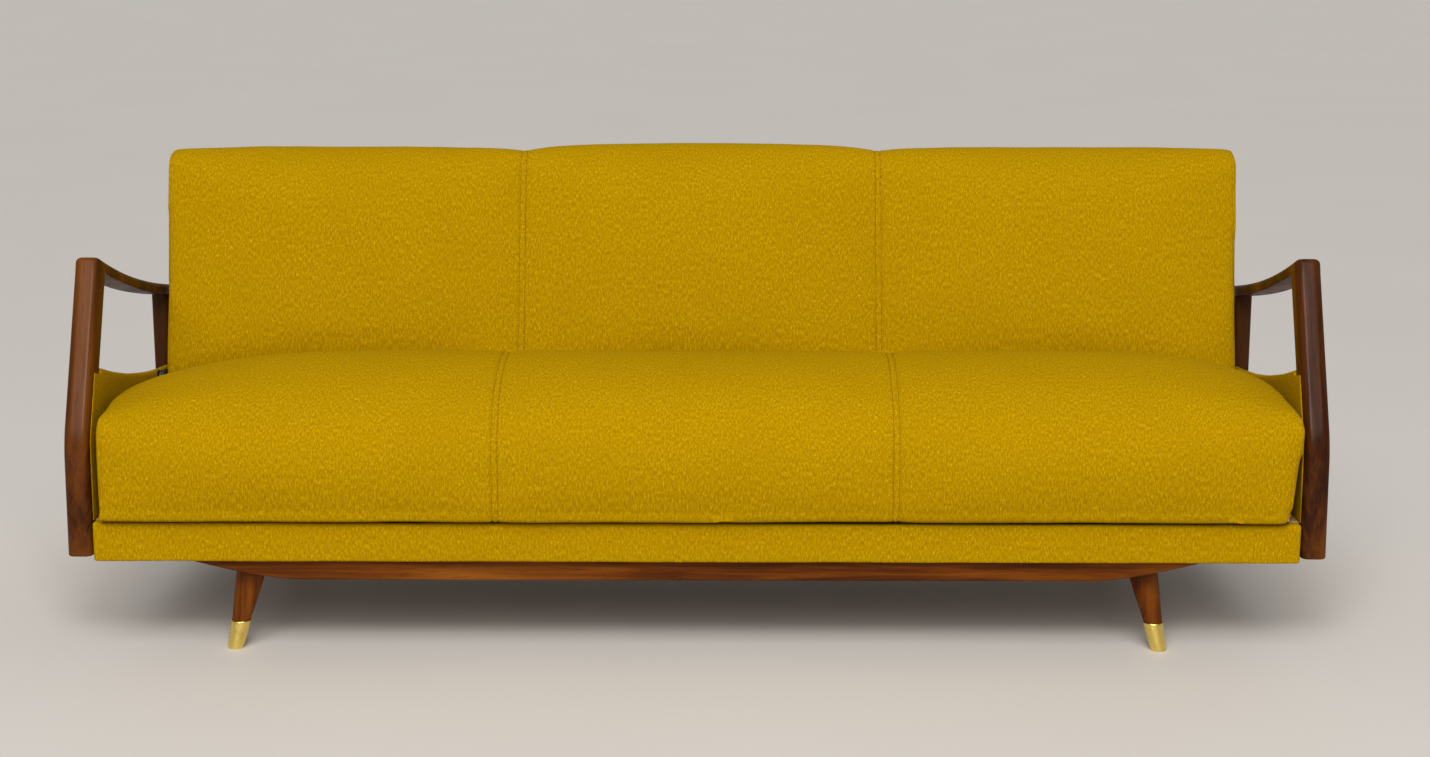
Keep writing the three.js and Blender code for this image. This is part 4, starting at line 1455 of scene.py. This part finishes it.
@dataclass
class Seat:
    """The seat cushion with its frame, springs and lining."""

    finishes: Finishes
    edge_height: float = 0.176
    rear_fall: float = 0.027
    crown: float = 0.079

    def make(self) -> None:
        """Builds the seat."""
        low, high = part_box("seat_cushion")
        depth = high.y - low.y
        shrink = 3 * MM
        corners = (
            (shrink, -1 * MM, 0.004), (depth - shrink, 0.0, 0.006),
            (depth - shrink, self.edge_height - self.rear_fall - shrink, 0.030),
            (depth * 0.32, self.edge_height + 12 * MM, 0.120), (shrink, self.edge_height - 4 * MM, 0.034))
        place = Matrix.Translation((0, low.y, low.z))
        Cushion("seat_upholstery", "seat_cushion", "seat", corners, place, crown_up=self.crown, crown_y=0.275,
                crown_reach=0.275, crown_out=0.003, fade_left=6.5, fade_right=11.0, swell_right=0.006, flare=0.014,
                tuck=0.007, corner_rise=0.008, lift=0.004, seam_hold=0.4, square=0.016,
                meeting_at=depth - 0.5 * MM).make(self.finishes, 0.85)
        for grain, names in ((Grain.LENGTHWISE, ("front", "rear")), (Grain.TO_REAR, ("left", "right"))):
            for name in names:
                carry_over(f"seat_frame_{name}", self.finishes.beech[grain], 1.5 * MM)
        for number in range(1, 6):
            carry_over(f"seat_spring_{number}", self.finishes.steel)
        carry_over("seat_dust_cover", self.finishes.lining)


@dataclass
class Back:
    """The folding back: cushion, frame, webbing and rear cover."""

    finishes: Finishes
    lean: float = math.radians(18.4)
    height: float = 0.460
    thick: float = 0.130
    face_to_pivot: float = 16.6 * MM
    foot_to_pivot: float = 13 * MM

    @property
    def place(self) -> Matrix:
        """From the back's own upright frame to its leaning place."""
        turn = Matrix.Rotation(-self.lean, 4, "X")
        return Matrix.Translation(PIVOT) @ turn @ Matrix.Translation((0, -self.face_to_pivot, -self.foot_to_pivot))

    def rear_cover(self) -> None:
        """The cloth panel that closes the back behind, with its turned-in edge."""
        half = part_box("back_cover")[1].x
        margin, turned_in, soft = 12.5 * MM, 1.2 * MM, 50 * MM
        inner, outer = self.thick - 1.0 * MM, self.thick + 1.6 * MM
        bottom, top = margin, self.height - margin
        bm = slab([(inner, bottom, 0), (outer, bottom, 0), (outer, top, 0), (inner, top, 0)], -half, half)
        across, up = 120, 28
        slice_at(bm, [-half + 2 * half * step / across for step in range(1, across)])
        slice_at(bm, [self.height * step / up for step in range(1, up)], 2)
        for vert in bm.verts:
            if vert.co.y > self.thick:
                rim = min(half - abs(vert.co.x), vert.co.z - bottom, top - vert.co.z)
                uneven = 1.2 * noise.noise(vert.co * 6) + 0.4 * noise.noise(vert.co * 30)
                vert.co.y += uneven * MM * min(1, rim / soft)
                if rim < 1 * MM:
                    vert.co.y -= turned_in
        bmesh.ops.transform(bm, matrix=self.place, verts=bm.verts)
        Piece("back_rear_cover", "back", "upholstery", self.finishes.wool, ("back_cover",), math.radians(60),
              True).build(bm)

    def make(self) -> None:
        """Builds the back."""
        shrink = 3 * MM
        corners = (
            (shrink, shrink, 0.026), (self.thick, shrink, 0.014), (self.thick, self.height - shrink, 0.016),
            (shrink, self.height - shrink, 0.044))
        Cushion("back_upholstery", "back_cushion", "back", corners, self.place, crown_out=0.010, swell_left=0.011,
                swell_right=0.012, middle_rise=12 * MM, side_rise=6 * MM, foot_swell=0.004,
                held_side=Vector((0, 1, 0)), meeting_side=Vector((0, 0, -1)),
                meeting_at=-1.5 * MM).make(self.finishes, 0.85)
        self.rear_cover()
        for grain, names in ((Grain.LENGTHWISE, ("bottom", "top")), (Grain.UPRIGHT, ("left", "right"))):
            for name in names:
                carry_over(f"back_frame_{name}", self.finishes.beech[grain])
        carry_over("back_webbing", self.finishes.jute)


@dataclass
class Fittings:
    """The steel hinge parts at both ends."""

    finishes: Finishes

    def make(self) -> None:
        """Gives the fittings their finish."""
        for side in Side:
            for name in ("hinge_plate", "pivot_pin", "seat_hinge_arm", "back_hinge_arm"):
                carry_over(f"{name}_{side.word}", self.finishes.steel, 0.4 * MM)


# ---------------------------------------------------------------- studio


@dataclass
class Studio:
    """A pale floor, soft lights and the camera."""

    lens: float = 60.42
    camera_at: tuple = (0.066, -4.2324, 1.254)
    pitch: float = math.radians(11.32)
    yaw: float = math.radians(0.50)

    def camera(self) -> None:
        """Places the camera and makes it the scene's."""
        data = bpy.data.cameras.new("camera")
        data.lens = self.lens
        data.sensor_width = 36.0
        data.clip_end = 100.0
        made = show("camera", data)
        made.location = self.camera_at
        made.rotation_euler = (math.pi / 2 - self.pitch, 0.0, self.yaw)
        bpy.context.scene.camera = made

    def floor(self) -> None:
        """Lays the floor, which isn't part of the sofa."""
        bm = bmesh.new()
        bmesh.ops.create_grid(bm, x_segments=1, y_segments=1, size=40.0)
        mesh = bpy.data.meshes.new("floor")
        bm.to_mesh(mesh)
        bm.free()
        made = show("floor", mesh)
        shader = Shader("pale_floor", Specular_IOR_Level=0.25)
        cloud = shader.noise(shader.place(), 1.2, 3)
        shader.feed(Base_Color=shader.mix(cloud, (0.63, 0.60, 0.565), (0.66, 0.63, 0.595)),
                    Roughness=cloud.spread(0, 1, 0.5, 0.6))
        mesh.materials.append(shader.material)

    def sun(self) -> None:
        """Adds broad daylight from above and in front."""
        data = bpy.data.lights.new("daylight", "SUN")
        data.energy = 2.3
        data.angle = math.radians(48)
        data.color = (1.0, 0.985, 0.96)
        show("daylight", data).rotation_euler = (math.radians(48), 0.0, math.radians(-4))

    def window(self) -> None:
        """Adds a large soft light high up behind the camera's place."""
        data = bpy.data.lights.new("window", "AREA")
        data.shape = "RECTANGLE"
        data.size, data.size_y = 1.2, 0.9
        data.energy = 52
        data.color = (1.0, 0.99, 0.97)
        made = show("window", data)
        made.location = (0.0, -3.6, 3.0)
        aim = Vector((0, 0, 0.5))
        made.rotation_euler = (aim - made.location).to_track_quat("-Z", "Y").to_euler()

    def make(self) -> None:
        """Sets up the whole studio."""
        self.camera()
        self.floor()
        self.sun()
        self.window()
        world = bpy.data.worlds.new("studio")
        world.use_nodes = True
        background = world.node_tree.nodes["Background"].inputs
        background["Color"].default_value = (0.80, 0.79, 0.78, 1)
        background["Strength"].default_value = 0.45
        bpy.context.scene.world = world
        bpy.context.scene.view_settings.view_transform = "Standard"


def main() -> None:
    """Builds the sofa in its studio."""
    logging.basicConfig(level=logging.INFO, format="%(name)s %(message)s")
    Studio().make()
    finishes = Finishes()
    BeddingBox(finishes).make()
    for side in Side:
        Arm(finishes, side).make()
        for end in End:
            Leg(finishes, end, side).make()
    Seat(finishes).make()
    Back(finishes).make()
    Fittings(finishes).make()


if __name__ == "__main__":
    main()
